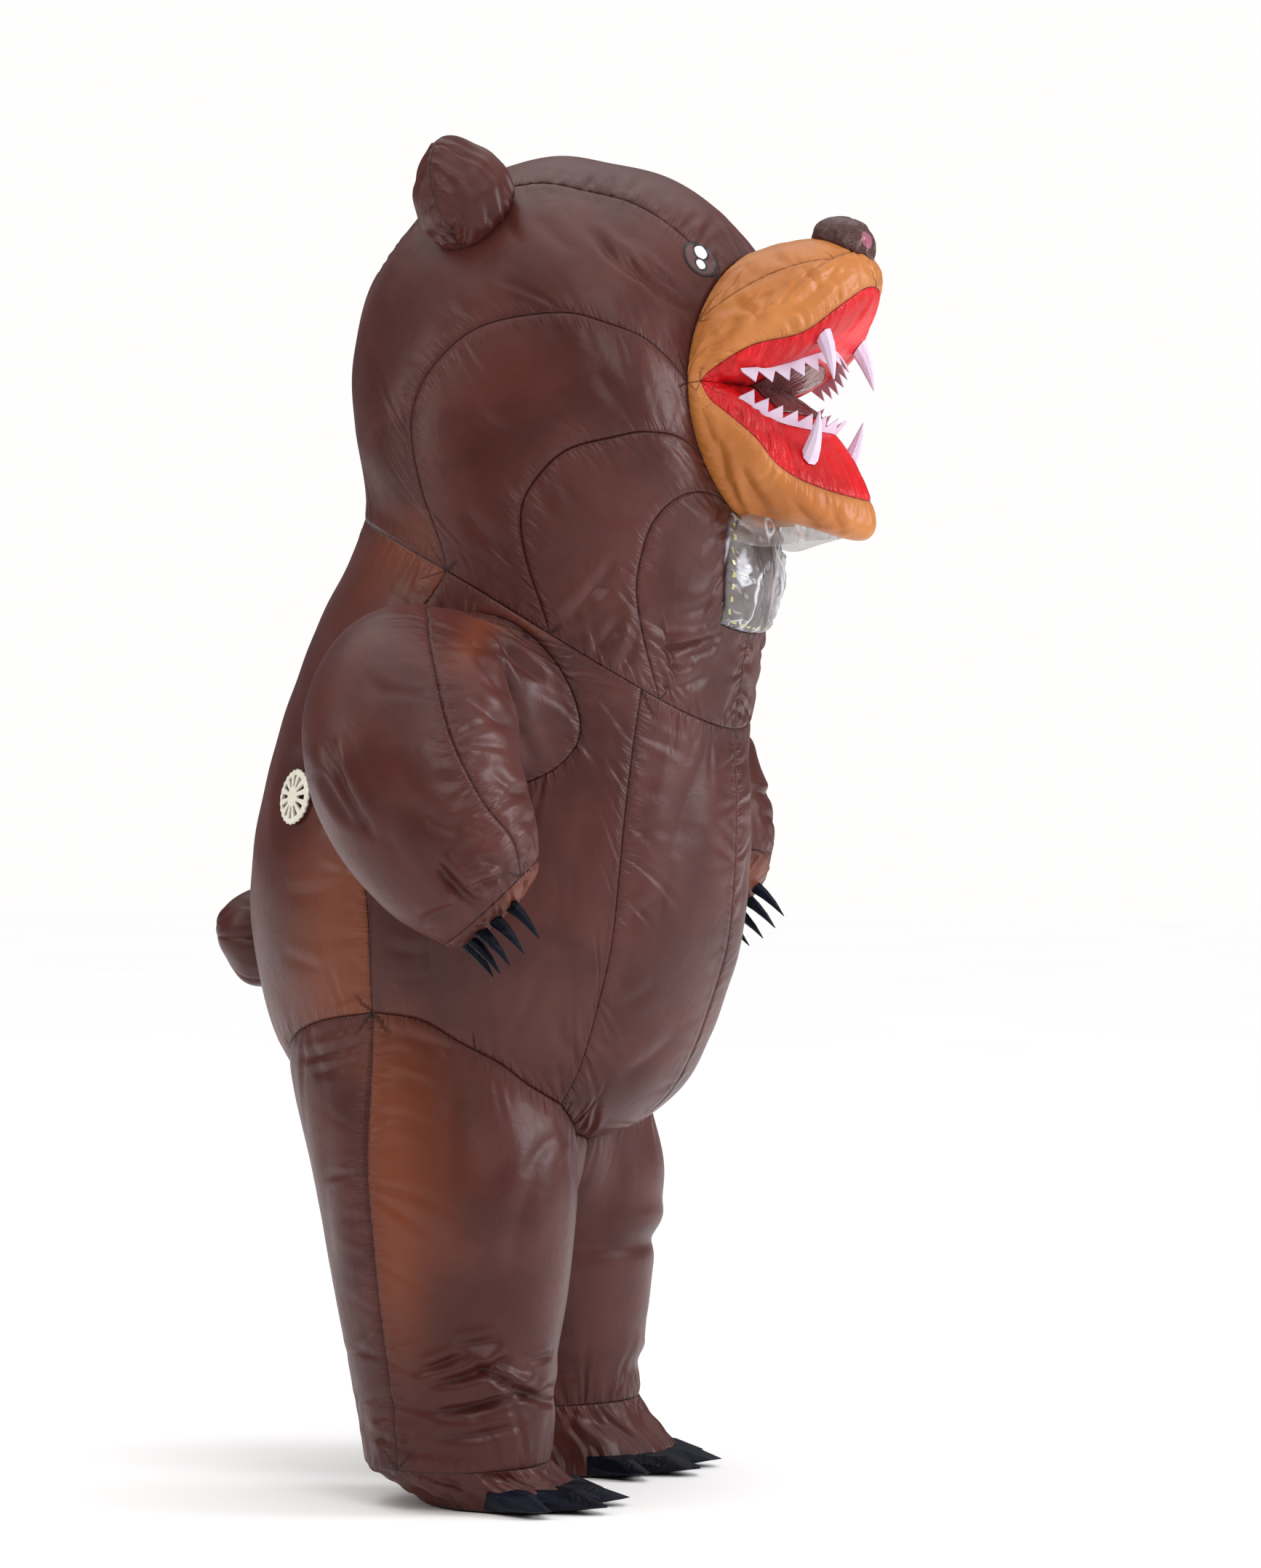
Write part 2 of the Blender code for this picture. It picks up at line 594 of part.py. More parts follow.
def add_head(panels, seams):
    """Crown, head sides, cheeks, jowls, throat and the clear window."""
    neck, muzzle = seams["neck"], seams["muzzle"]
    crown = fill(
        seams["crown_end"],
        muzzle[CROWN_AT_MUZZLE:],
        seams["crown"][::-1],
        seams["bridge"],
    )
    panels.add("crown", full_width(body_point(crown)), "brown", IN_HEAD, pillow=0.008)
    over = joined(seams["crown"], seams["crown_end"], seams["head_back"])
    muzzle_ends = (THROAT_AT_MUZZLE, JOWL_AT_MUZZLE, CORNER_AT_MUZZLE, CROWN_AT_MUZZLE)
    neck_ends = (THROAT_AT_NECK, CHEEK_AT_NECK, SIDE_AT_NECK, len(neck) - 1)
    bounds = (seams["throat"], seams["jowl"], seams["cheek"], over)
    for place, name in enumerate(("jowl", "cheek", "head_side")):
        front = muzzle[muzzle_ends[place] : muzzle_ends[place + 1] + 1]
        rear = neck[neck_ends[place] : neck_ends[place + 1] + 1]
        strip = fill(bounds[place], bounds[place + 1], front, rear)
        panels.add_pair(name, body_point(strip), "brown", IN_HEAD, pillow=0.008)
    beside = muzzle[THROAT_AT_MUZZLE : WINDOW_AT_MUZZLE - 1 : -1]
    above = joined(beside, seams["window_side"], seams["window_foot"])
    throat = fill(above, neck[THROAT_AT_NECK::-1], seams["throat"], seams["throat_middle"])
    panels.add_pair("throat", body_point(throat), "brown", IN_HEAD, pillow=0.005)
    window = fill(
        seams["window_foot"],
        muzzle[WINDOW_AT_MUZZLE::-1],
        seams["window_side"][::-1],
        seam(((WINDOW_FOOT_RING, 0), (17.0, 0), (MUZZLE_RING, 0)), WINDOW_ROWS),
    )
    panels.add("window", full_width(body_point(window)), "clear", IN_HEAD, pillow=0.034, wall=VINYL)


def bezier(start, towards, back, end, along):
    return (
        (1 - along) ** 3 * start
        + 3 * along * (1 - along) ** 2 * towards
        + 3 * along**2 * (1 - along) * back
        + along**3 * end
    )


def muzzle_point(column, along, upper):
    """The muzzle's skin from its seam (along 0) to the lip (along 1); column 0 is the corner."""
    cells = CORNER_AT_MUZZLE
    angles = MUZZLE_ANGLES[cells:] if upper else MUZZLE_ANGLES[cells::-1]
    angle = np.interp(column, np.arange(len(angles)), angles)
    start = body_point(np.stack([np.full(angle.shape, float(MUZZLE_RING)), angle], -1))
    lip_table = UPPER_LIP if upper else LOWER_LIP
    lip = even_curve(lip_table, cells)
    end = np.stack([np.interp(column, np.arange(cells + 1), lip[:, axis]) for axis in range(3)], -1)
    end = right_point(end[..., 0], end[..., 1], end[..., 2])
    length = np.linalg.norm(end - start, axis=-1, keepdims=True)
    turn = np.radians(angle)
    push = 0.38 if upper else np.interp(angle, (0, 90), (-0.45, 0.38))
    towards = right_point(0.92 + 0 * turn, push * np.sin(turn), -push * np.cos(turn))
    share = (column / cells)[..., None]
    part = share[..., 0]
    rise = (0.93 if upper else -0.93) * np.minimum(1, 3 * part)
    outward = right_point(0.25 * part, 0.35 * (1 - part), rise)
    pull = 0.33 + (0.03 if upper else 0.39) * share
    bend = start + towards * length * 0.55
    return bezier(start, bend, end + outward * length * pull, end, along[..., None])


def lining_point(column, along, upper):
    """The mouth's lining from the lip (along 0) to the fold at the throat (along 1)."""
    cells = CORNER_AT_MUZZLE
    lip = even_curve(UPPER_LIP if upper else LOWER_LIP, cells)
    start = np.stack([np.interp(column, np.arange(cells + 1), lip[:, axis]) for axis in range(3)], -1)
    start = right_point(start[..., 0], start[..., 1], start[..., 2])
    turn = column / cells * np.pi / 2
    end = right_point(
        THROAT_FORWARD + THROAT_BULGE * np.sin(turn) ** 2, THROAT_SIDE * np.cos(turn), THROAT_HEIGHT + 0 * turn
    )
    length = np.linalg.norm(end - start, axis=-1, keepdims=True)
    fall = -1 if upper else 1
    bulge = np.minimum(1, 3.5 * column / cells)
    flat = 0 * turn
    towards = right_point(-0.25 * np.sin(turn), -0.35 * np.cos(turn), fall * 0.9 + flat)
    back = right_point(0.85 + flat, 0.1 * np.cos(turn), -fall * 0.35 + flat)
    pull = length * 0.33 * bulge[..., None]
    return bezier(start, start + towards * pull, end + back * pull, end, along[..., None])


def add_muzzle(panels):
    """The tan muzzle and the linings of the mouth."""
    cells = CORNER_AT_MUZZLE
    bridge = BRIDGE_AT_MUZZLE - CORNER_AT_MUZZLE
    top_cells = cells - bridge
    knee = (cells - top_cells * 0.42, BRIDGE_FOOT[0])
    seam_path = even_curve(((bridge, 0.0), (bridge + 1.4, 0.33), knee), bridge)
    foot_path = even_curve((knee, (cells - 1.0, BRIDGE_FOOT[1] - 0.01), (cells, BRIDGE_FOOT[1])), top_cells)
    lip_path = np.stack([np.arange(cells + 1.0), np.ones(cells + 1)], -1)
    seam_edge = np.stack([np.arange(bridge + 1.0), np.zeros(bridge + 1)], -1)
    left = joined(np.array([[0, 1.0], [0, 0.0]]), seam_edge)
    right = np.stack([np.full(len(left), float(cells)), np.linspace(1, BRIDGE_FOOT[1], len(left))], -1)
    side = fill(lip_path, joined(seam_path, foot_path), left, right)
    half = muzzle_point(side[..., 0], side[..., 1], True)
    panels.add_pair("muzzle_side", half, "tan", IN_BRIDGE, pillow=0.007)
    rear = np.stack([np.arange(bridge, cells + 1.0), np.zeros(top_cells + 1)], -1)
    middle = np.stack([np.full(bridge + 1, float(cells)), np.linspace(0, BRIDGE_FOOT[1], bridge + 1)], -1)
    top = fill(rear, foot_path, seam_path, middle)
    half = muzzle_point(top[..., 0], top[..., 1], True)
    panels.add("muzzle_bridge", full_width(half), "tan", IN_BRIDGE, pillow=0.005)
    column, along = np.meshgrid(np.arange(cells + 1.0), np.linspace(0, 1, JAW_ROWS + 1))
    jaw = full_width(muzzle_point(column, along, False))
    panels.add("jaw", jaw, "tan", IN_JAW, pillow=0.004)
    column, along = np.meshgrid(np.arange(cells + 1.0), np.linspace(0, 1, LINING_ROWS + 1))
    panels.add("palate", full_width(lining_point(column, along, True)), "red", IN_BRIDGE, pillow=0.004)
    panels.add("mouth_floor", full_width(lining_point(column, along, False)), "red", IN_JAW, pillow=0.004)


def add_sleeves(panels, hole, turn):
    """Each sleeve from the armhole's points through its sections, then the palm that closes it."""
    sections = np.array(SLEEVE_SECTIONS)
    middles = right_point(sections[:, 0], sections[:, 1], sections[:, 2])
    tangents = unit(np.gradient(middles, axis=0))
    tangents[0] = (-1, 0, 0)
    tangents[-1] = unit(np.array([0.28, -0.62, -0.73]))
    forward = np.array([0.0, -1.0, 0.0])
    rings = [hole]
    for place in range(1, len(sections)):
        tangent = tangents[place]
        first = unit(forward - (forward @ tangent) * tangent)
        second = np.cross(tangent, first)
        share = min(1.0, place / (len(sections) - 2))
        angle = turn + math.radians(SLEEVE_TWIST) * share**1.5
        circle = np.cos(angle)[:, None] * first + np.sin(angle)[:, None] * second
        rings.append(middles[place] + sections[place, 3] * circle)
    tube = np.stack(rings)
    top = len(turn) // 2
    loop = np.concatenate([tube, tube[:, :1]], axis=1)
    panels.add_pair("sleeve_front", loop[:, : top + 1], "brown", IN_SLEEVE, pillow=0.007)
    panels.add_pair("sleeve_back", loop[:, top:], "brown", IN_SLEEVE, pillow=0.007)
    end = tube[-1]
    shrink = np.array([1.0, 0.72, 0.36, 0.0])[:, None, None]
    middle = end.mean(0)
    rise = np.sqrt(1 - shrink**2) * PALM_BULGE
    palm = middle + (end - middle) * shrink + tangents[-1] * rise
    panels.add_pair("palm", palm, "brown", IN_HAND, pillow=0.0, wrap=True, pole=True)
    return middle, tangents[-1]


def leg_point(height, angle, side):
    """A leg's skin at a height, with the folds of that side."""
    table = np.array(LEG_SECTIONS)
    forward, across, long, wide = [np.interp(height, table[:, 0], table[:, axis]) for axis in range(1, 5)]
    fold = np.zeros_like(height)
    for where, level, depth, tall, middle, spread in LEG_FOLDS:
        if where == side:
            away = (np.degrees(angle) - middle + 180) % 360 - 180
            trough = np.exp(-(((height - level) / tall) ** 2))
            ridge = np.exp(-(((height - level - 2 * tall) / tall) ** 2))
            fold += depth * (trough - 0.6 * ridge) * np.exp(-((away / spread) ** 2))
    return right_point(
        forward + (long - fold) * np.cos(angle), across + (wide - fold) * np.sin(angle), height
    )


def add_legs(panels, seams):
    """Each leg from the hip seam and the crotch down to its hem, then the foot cover."""
    hip = {name: body_point(points) for name, points in seams["hip"].items()}
    front, rear = hip["belly"][0].copy(), hip["back"][-1].copy()
    front[0] = rear[0] = 0
    crotch = np.linspace(rear, front, 2 * CROTCH_CELLS + 1)
    hip["belly"][0], hip["back"][-1] = front, rear
    loop = joined(crotch[CROTCH_CELLS:], hip["belly"], hip["side"], hip["back"], crotch[: CROTCH_CELLS + 1])
    _, forward, across, long, wide = LEG_SECTIONS[-1]
    angle = np.unwrap(np.arctan2((-loop[:, 0] - across) / wide, (-loop[:, 1] - forward) / long))
    split = CROTCH_CELLS + SIDE_AT_NECK
    for side in ("right", "left"):
        hem = HEM_HEIGHT[side]
        rows = []
        for share in np.linspace(0, 1, LEG_ROWS + 1):
            height = loop[:, 2] + (hem - loop[:, 2]) * share
            blend = np.clip(share / LEG_BLEND, 0, 1)
            blend = blend * blend * (3 - 2 * blend)
            point = leg_point(height, angle, side)
            point[:, :2] = (1 - blend) * loop[:, :2] + blend * point[:, :2]
            rows.append(point)
        tube = np.stack(rows)
        foot = [tube[-1]]
        depths = np.linspace(FOOT_GATHER_DEPTH, 0, len(FOOT_SECTIONS[side]))
        for (height, middle, long_foot, wide_foot), depth in zip(FOOT_SECTIONS[side], depths):
            gather = 1 - depth / long_foot * np.cos(FOOT_GATHERS * angle)
            foot.append(
                right_point(
                    middle + long_foot * gather * np.cos(angle),
                    LEG_SECTIONS[0][2] + wide_foot * gather * np.sin(angle),
                    height + 0 * angle,
                )
            )
        foot = np.stack(foot)[:, :-1]
        pieces = {"leg_front": tube[:, : split + 1], "leg_back": tube[:, split:], "foot_cover": foot}
        forward, across, height = IN_LEG
        inside = (forward, across if side == "right" else -across, height)
        for name, grid in pieces.items():
            grid = mirrored(grid) if side == "left" else grid
            options = {"pillow": 0.0, "wrap": True} if name == "foot_cover" else {"pillow": 0.006}
            panels.add(f"{name}_{side}", grid, "brown", inside, **options)


class Skin:
    """The outer faces of some panels, for pieces that lie or stand on them."""

    def __init__(self, panels, names):
        points, faces = [], []
        for name in names:
            grid = panels.grids[name]
            rows, columns = grid.shape[:2]
            options = panels.finish[name]
            other_from = other_cut_from(name, options, columns)
            faces += grid_faces(rows, columns, options["wrap"], len(points), other_from)
            points += grid.reshape(-1, 3).tolist()
        self.tree = BVHTree.FromPolygons(points, faces)

    def nearest(self, point):
        place, normal, _, _ = self.tree.find_nearest(Vector(point))
        return np.array(place), np.array(normal)

    def over(self, points, gap=LAID_ON_GAP):
        """Each point brought to the nearest place on the skin, then out by the gap."""
        flat = np.asarray(points, float).reshape(-1, 3)
        found = [place + normal * gap for place, normal in map(self.nearest, flat)]
        return np.array(found).reshape(np.shape(points))

    def hit(self, start, direction):
        place = self.tree.ray_cast(Vector(start), Vector(direction))[0]
        return np.array(place)

    def short_of(self, point, gap):
        """How much a point lacks to stand clear of the skin by the gap, and which way is out."""
        place, normal = self.nearest(point)
        return max(0.0, gap - (point - place) @ normal), normal

    def clear(self, grid, wrap=True, gap=LAID_ON_GAP):
        """Raises a laid-on grid until the middles of its edges and cells stand clear too."""
        grid = np.array(grid, float)
        rows, columns = grid.shape[:2]
        for _ in range(CLEAR_ROUNDS):
            raised = grid.copy()
            for row, column in np.ndindex(rows, columns if wrap else columns - 1):
                along = (column + 1) % columns
                corners = [(row, column), (row, along)]
                spans = [corners]
                if row + 1 < rows:
                    spans += [[(row, column), (row + 1, column)], [(row, column), (row + 1, along)]]
                for span in spans:
                    ends = [grid[place] for place in span]
                    for share in (0.25, 0.5, 0.75):
                        lack, normal = self.short_of(ends[0] * (1 - share) + ends[1] * share, gap)
                        if lack > 0:
                            for place in span:
                                lift = grid[place] + normal * lack * 1.3
                                if (lift - raised[place]) @ normal > 0:
                                    raised[place] = lift
            grid = raised
        return grid


def add_ears(pouches, panels):
    """Each ear is a fat pouch: a front and a back piece that meet at its rim."""
    place = np.array([EAR_RING, EAR_ANGLE])
    base = body_point(place)
    along = body_point(place + [0.05, 0]) - body_point(place - [0.05, 0])
    across = body_point(place + [0, 1]) - body_point(place - [0, 1])
    outward = unit(np.cross(across, along))
    up = unit(outward * np.sign(outward[2]) + np.array(EAR_LEAN))
    thick = unit(np.array([0.0, -1.0, 0.0]) + up * up[1])
    wide = np.cross(thick, up)
    skin = Skin(panels, ["crown", "head_side_right"])
    round_foot = np.linspace(0, 2 * np.pi, 2 * EAR_CELLS + 1)[None, :-1, None]
    loop = base + wide * np.cos(round_foot) * EAR_WIDTH * EAR_FOOT
    loop = loop + thick * np.sin(round_foot) * EAR_DEPTH / 2
    loop = skin.clear(skin.over(loop, FOOT_GAP), gap=FOOT_GAP)
    loop = np.concatenate([loop, loop[:, :1]], axis=1)
    turn = np.linspace(0, np.pi, EAR_CELLS + 1)[None, :, None]
    rise = np.linspace(0, 1, EAR_ROWS + 1)[:, None, None]
    inside = base + up * EAR_HEIGHT / 2
    for name, sign in (("ear_front", 1), ("ear_back", -1)):
        foot = loop[:, : EAR_CELLS + 1] if sign > 0 else loop[:, : EAR_CELLS - 1 : -1]
        ends = base + wide * np.cos(turn) * EAR_WIDTH / 2
        rim = ends + up * (EAR_RIM_START + (EAR_HEIGHT - EAR_RIM_START) * np.sin(turn) ** 0.8)
        grid = (1 - rise) * foot + rise * rim
        bulge = np.sin(np.pi * rise) ** 0.8 * np.sin(turn) * EAR_DEPTH * 0.30
        grid = grid + sign * thick * bulge
        middle = inside - sign * thick * 0.02
        pouches.add_pair(name, grid, "brown", (-middle[1], -middle[0], middle[2]), pillow=0.003)


def add_tail(pouches, panels):
    """A gored ball on the middle of the back, its open foot laid on the two back panels."""
    skin = Skin(panels, ["back_right", "back_left"])
    turn = np.arange(2 * TAIL_GORES) * np.pi / TAIL_GORES
    gore = np.where(np.arange(2 * TAIL_GORES) % 2, 1.0, 1.0 - TAIL_SEAM_DRAW)
    rows = []
    for lift in np.radians(TAIL_LIFTS):
        ring = TAIL_RADIUS * np.cos(lift) * gore
        away = TAIL_STAND + TAIL_RADIUS * np.sin(lift) + 0 * turn
        height = TAIL_FOOT[1] + ring * np.sin(turn)
        rows.append(right_point(TAIL_FOOT[0] - away, ring * np.cos(turn), height))
    grid = np.stack(rows)
    grid[0] = skin.clear(skin.over(grid[:1]))[0]
    inside = (TAIL_FOOT[0] - TAIL_STAND, 0.0, TAIL_FOOT[1])
    pouches.add("tail", grid, "brown", inside, pillow=0.0, wrap=True, pole=True)


def laid_dome(name, skin, grid, direction, rise, finish):
    """A stuffed piece whose underside follows the skin; row 0 is its rim and the last its middle."""
    under = skin.clear(skin.over(grid))
    under[-1] = under[-1].mean(0)
    top = under + direction * rise
    top[0] = under[0] + direction * DOME_RIM
    faces = grid_faces(grid.shape[0], grid.shape[1], True)
    size = grid.shape[0] * grid.shape[1]
    faces += [face[::-1] for face in grid_faces(grid.shape[0], grid.shape[1], True, size)]
    columns = grid.shape[1]
    faces += [[(c + 1) % columns, c, c + size, (c + 1) % columns + size] for c in range(columns)]
    return add_object(name, np.concatenate([top.reshape(-1, 3), under.reshape(-1, 3)]), faces, finish, 60)


def build_nose(panels):
    """The stuffed nose, over the front end of the bridge and the tops of the muzzle sides."""
    skin = Skin(panels, ["muzzle_bridge", "muzzle_side_right", "muzzle_side_left"])
    turn = np.arange(16) * np.pi / 8
    share = np.array([1.0, 0.85, 0.5, 0.0])[:, None]
    middle = np.array(NOSE_MIDDLE)
    long_axis, wide_axis = unit(np.array(NOSE_LONG_AXIS)), np.array([1.0, 0, 0])
    up = np.cross(long_axis, wide_axis)
    up = up * np.sign(up[2])
    flat = share[..., None] * (
        np.cos(turn)[None, :, None] * long_axis * NOSE_LENGTH / 2
        + np.sin(turn)[None, :, None] * wide_axis * NOSE_WIDTH / 2
    )
    rise = (np.sqrt(1 - share**2) * NOSE_RISE)[..., None]
    grid = right_point(middle[0], 0.0, middle[1]) + flat
    area = np.cross(grid[0, 4] - grid[0, 0], grid[0, 8] - grid[0, 0])
    grid = grid if area @ up > 0 else grid[:, ::-1]
    return laid_dome("nose", skin, grid, up, rise, "dark")


def build_throat_patch(panels):
    """A glossy patch in the fold of the throat, made from the linings' own points moved out."""
    palate, floor = panels.grids["palate"], panels.grids["mouth_floor"]
    first, last = PATCH_COLUMNS
    upper, lower = (grid[:, ::-1] if grid[0, 0, 0] > grid[0, -1, 0] else grid for grid in (palate, floor))
    over, under = upper[PATCH_ROWS:, first:last], lower[PATCH_ROWS:, first:last]
    over, under = ([rows[0] + (rows[1] - rows[0]) * PATCH_MARGIN, *rows[1:]] for rows in (over, under))
    grid = np.stack([*over, *under[-2::-1]])
    patch = Panels()
    patch.add("throat_patch", grid, "dark", (0.2, 0.0, THROAT_HEIGHT), pillow=0.0)
    grid = patch.grids["throat_patch"]
    normals = unit(patch.own_normals("throat_patch"))
    options = dict(patch.finish["throat_patch"], wall=VINYL)
    raised = grid + normals * (LAID_ON_GAP + VINYL)
    wall_object("throat_patch", raised, normals, np.ones(grid.shape[:2]), options)


def lining_line(panels, name, row, start, stop, count):
    """Points at even steps along one row of a lining, with the normals there."""
    grid = panels.grids[name]
    grid = grid if grid[0, 0, 0] < grid[0, -1, 0] else grid[:, ::-1]
    line, columns = grid[row], grid.shape[1]
    normals = unit(panels.own_normals(name))
    if panels.grids[name][0, 0, 0] >= panels.grids[name][0, -1, 0]:
        normals = normals[:, ::-1]
    wanted = np.linspace(start, stop, count) * (columns - 1)
    spots = np.stack([np.interp(wanted, np.arange(columns), line[:, axis]) for axis in range(3)], -1)
    places = np.arange(columns)
    facing = np.stack([np.interp(wanted, places, normals[row][:, axis]) for axis in range(3)], -1)
    return spots, unit(facing)


def build_teeth(panels):
    """A zigzag strip of felt along each lining, and two stuffed canines in front of it."""
    for jaw, lining, lean in (("upper", "palate", -0.7), ("lower", "mouth_floor", 0.7)):
        spots, facing = lining_line(panels, lining, TEETH_ROW, *TEETH_SPAN, 2 * TEETH + 1)
        along = unit(np.gradient(spots, axis=0))
        across = unit(np.cross(along, facing))
        hang = unit(facing + np.array([0, -0.35, lean]))
        tall = np.where(np.arange(2 * TEETH + 1) % 2, TOOTH_HEIGHT, TOOTH_WEB)[:, None]
        foot = spots + facing * LAID_ON_GAP
        half = across * FELT / 2
        ring = [foot - half, foot + half, foot + half + hang * tall, foot - half + hang * tall]
        sections = np.stack(ring, 1)
        stuffed(f"teeth_{jaw}", list(sections[:, ::-1] if lean < 0 else sections), "white", 20)
        places, facing = lining_line(panels, lining, CANINE_ROW, *CANINE_SPAN, 2)
        for side, place, seat in zip(("right", "left"), places, facing):
            outward = np.array([-0.25 if side == "right" else 0.25, -0.45, lean * 1.3])
            horn(f"canine_{jaw}_{side}", place + seat * LAID_ON_GAP, seat, outward, (0, 0.4, lean),
                 CANINE_LENGTH, CANINE_RADIUS, "white")


def build_claws(panels, palm_middle, palm_axis):
    """Five stuffed claws on the outer edge of each palm."""
    skin = Skin(panels, ["palm_right"])
    forward = np.array([0.0, -1.0, 0.0])
    first = unit(forward - (forward @ palm_axis) * palm_axis)
    second = np.cross(palm_axis, first)
    radius = SLEEVE_SECTIONS[-1][3]
    for number, angle in enumerate(np.radians(CLAW_ANGLES)):
        spot = palm_middle + radius * CLAW_INSET * (np.cos(angle) * first + np.sin(angle) * second)
        place, seat = skin.nearest(spot + palm_axis * PALM_BULGE)
        for side, sign in (("right", 1), ("left", -1)):
            flip = np.array([sign, 1.0, 1.0])
            horn(f"claw_{side}_{number + 1}", (place + seat * LAID_ON_GAP) * flip, seat * flip,
                 np.array(CLAW_DIRECTION) * flip, (0, 0.3, -1), CLAW_LENGTH, CLAW_RADIUS, "black", 7, 3)


def build_toes(panels, side):
    """A black toe piece round the front of a foot cover, drawn out into four claws."""
    skin = Skin(panels, [f"foot_cover_{side}"])
    middle = np.array([LEG_SECTIONS[0][2] * (-1 if side == "right" else 1), 0.0])
    shares = np.linspace(0, TOES, TOES * TOE_STEPS + 1)
    angles = np.radians(np.interp(shares, (0, TOES), (-TOE_SPREAD, TOE_SPREAD)))
    ways = np.stack([np.sin(angles), -np.cos(angles), 0 * angles], -1)
    inner = []
    for outward in ways:
        starts = [np.array([middle[0], 0.0, height]) + outward * TOE_RAY for height in TOE_HEIGHTS]
        inner.append([skin.hit(start, -outward) + outward * LAID_ON_GAP for start in starts])
    inner = skin.clear(inner, wrap=False)
    sections = []
    for number, (share, outward) in enumerate(zip(shares, ways)):
        pointing = unit(outward * [0.55, 1, 1])
        reach = TOE_REACH + TOE_CLAW * np.sin(np.pi * (share % 1)) ** 1.4
        low, mid, high = inner[number]
        drop = TOE_TIP_HEIGHT - mid[2] if reach > TOE_REACH * 1.01 else 0
        tip = mid + pointing * reach + [0, 0, drop]
        over = high + pointing * reach * 0.45 - [0, 0, 0.004]
        under = low + pointing * reach * 0.40
        sections.append(np.array([low, mid, high, over, tip, under]))
    return stuffed(f"toe_claws_{side}", sections, "black", 35)


def build_fan_cover(panels):
    """The fan's round grille on the back: a toothed rim and a plate with radial slots."""
    skin = Skin(panels, ["back_right"])
    place = np.array([FAN_RING, FAN_ANGLE])
    middle = body_point(place)
    up = unit(body_point(place + [0.1, 0]) - middle)
    across = unit(body_point(place + [0, 1]) - middle)
    across = unit(across - (across @ up) * up)
    outward = unit(np.cross(across, up))
    outward = outward * np.sign(outward @ (middle * [1, 1, 0]))
    columns = FAN_SLOTS * 4
    turn = np.arange(columns) * 2 * np.pi / columns
    radii = np.repeat(np.array(FAN_RINGS)[:, None], columns, 1) * FAN_RADIUS
    radii[-1] *= np.where(np.arange(columns) % 2, 1.0, FAN_NOTCH)
    flat = radii[..., None] * (np.cos(turn)[:, None] * across + np.sin(turn)[:, None] * up)
    under = skin.over(middle + flat)
    over = under + outward * FAN_PLATE
    over[1:3] += outward * FAN_PLATE * 0.4
    size, rows = under.shape[0] * columns, len(FAN_RINGS)
    faces = [list(range(columns))[::-1]]
    for row, column in np.ndindex(rows - 1, columns):
        if row == FAN_SLOT_ROW and column % 4 >= 2:
            continue
        start, along = row * columns, (column + 1) % columns
        faces.append([start + column, start + along, start + columns + along, start + columns + column])
    edges = {}
    for face in faces:
        for a, b in zip(face, face[1:] + face[:1]):
            edges[(a, b)] = True
    walls = [[b, a, a + size, b + size] for a, b in edges if (b, a) not in edges]
    back = [[corner + size for corner in face[::-1]] for face in faces]
    points = np.concatenate([over.reshape(-1, 3), under.reshape(-1, 3)])
    test = faces[1]
    normal = np.cross(points[test[1]] - points[test[0]], points[test[2]] - points[test[0]])
    every = faces + back + walls
    if normal @ outward < 0:
        every = [face[::-1] for face in every]
    return add_object("fan_cover", points, every, "cream", 30)


def main():
    for old in list(bpy.data.objects):
        bpy.data.objects.remove(old, do_unlink=True)
    panels, pouches = Panels(), Panels()
    seams = body_seams()
    hole, turn = add_body(panels, seams)
    add_head(panels, seams)
    add_muzzle(panels)
    palm_middle, palm_axis = add_sleeves(panels, hole, turn)
    add_legs(panels, seams)
    panels.puff()
    add_ears(pouches, panels)
    add_tail(pouches, panels)
    pouches.puff()
    for group in (panels, pouches):
        normals = group.shared_normals()
        for name, grid in group.grids.items():
            wall_object(name, grid, *normals[name], group.finish[name])
    build_nose(panels)
    build_throat_patch(panels)
    build_teeth(panels)
    build_claws(panels, palm_middle, palm_axis)
    for side in ("right", "left"):
        build_toes(panels, side)
    build_fan_cover(panels)


main()
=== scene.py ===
import math

import bpy
import numpy as np
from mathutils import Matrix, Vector
from mathutils.bvhtree import BVHTree


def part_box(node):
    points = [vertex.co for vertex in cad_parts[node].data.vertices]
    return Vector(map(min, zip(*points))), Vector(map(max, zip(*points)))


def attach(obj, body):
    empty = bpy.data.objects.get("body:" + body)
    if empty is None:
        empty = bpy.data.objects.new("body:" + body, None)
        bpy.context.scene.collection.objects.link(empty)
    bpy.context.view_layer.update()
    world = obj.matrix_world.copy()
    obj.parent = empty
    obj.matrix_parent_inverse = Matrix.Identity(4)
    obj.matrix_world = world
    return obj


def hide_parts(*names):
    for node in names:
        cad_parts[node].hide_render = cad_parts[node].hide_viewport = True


# Inflatable bear costume. Metres, +Z up, the bear faces -Y and its left is +X.
# Heights in the tables are above the soles, as a maker would measure them.
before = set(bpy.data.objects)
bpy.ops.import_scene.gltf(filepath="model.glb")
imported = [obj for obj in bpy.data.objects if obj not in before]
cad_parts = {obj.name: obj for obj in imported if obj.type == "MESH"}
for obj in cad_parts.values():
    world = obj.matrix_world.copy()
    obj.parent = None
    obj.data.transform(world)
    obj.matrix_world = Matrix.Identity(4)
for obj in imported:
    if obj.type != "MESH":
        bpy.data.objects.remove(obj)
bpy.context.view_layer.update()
print("frame loaded,", len(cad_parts), "nodes")

shoulderHeight = 1.40
scene = bpy.context.scene
scene.view_settings.view_transform = "Standard"

# ---- camera first: level, at the side of the bear's right shoulder
shot = {"azimuth": -70.0, "distance": 7.3, "sideways": 0.219, "height": 1.196, "lens": 97.5, "sensor": 36.0}
photoSize = (1734, 2156)


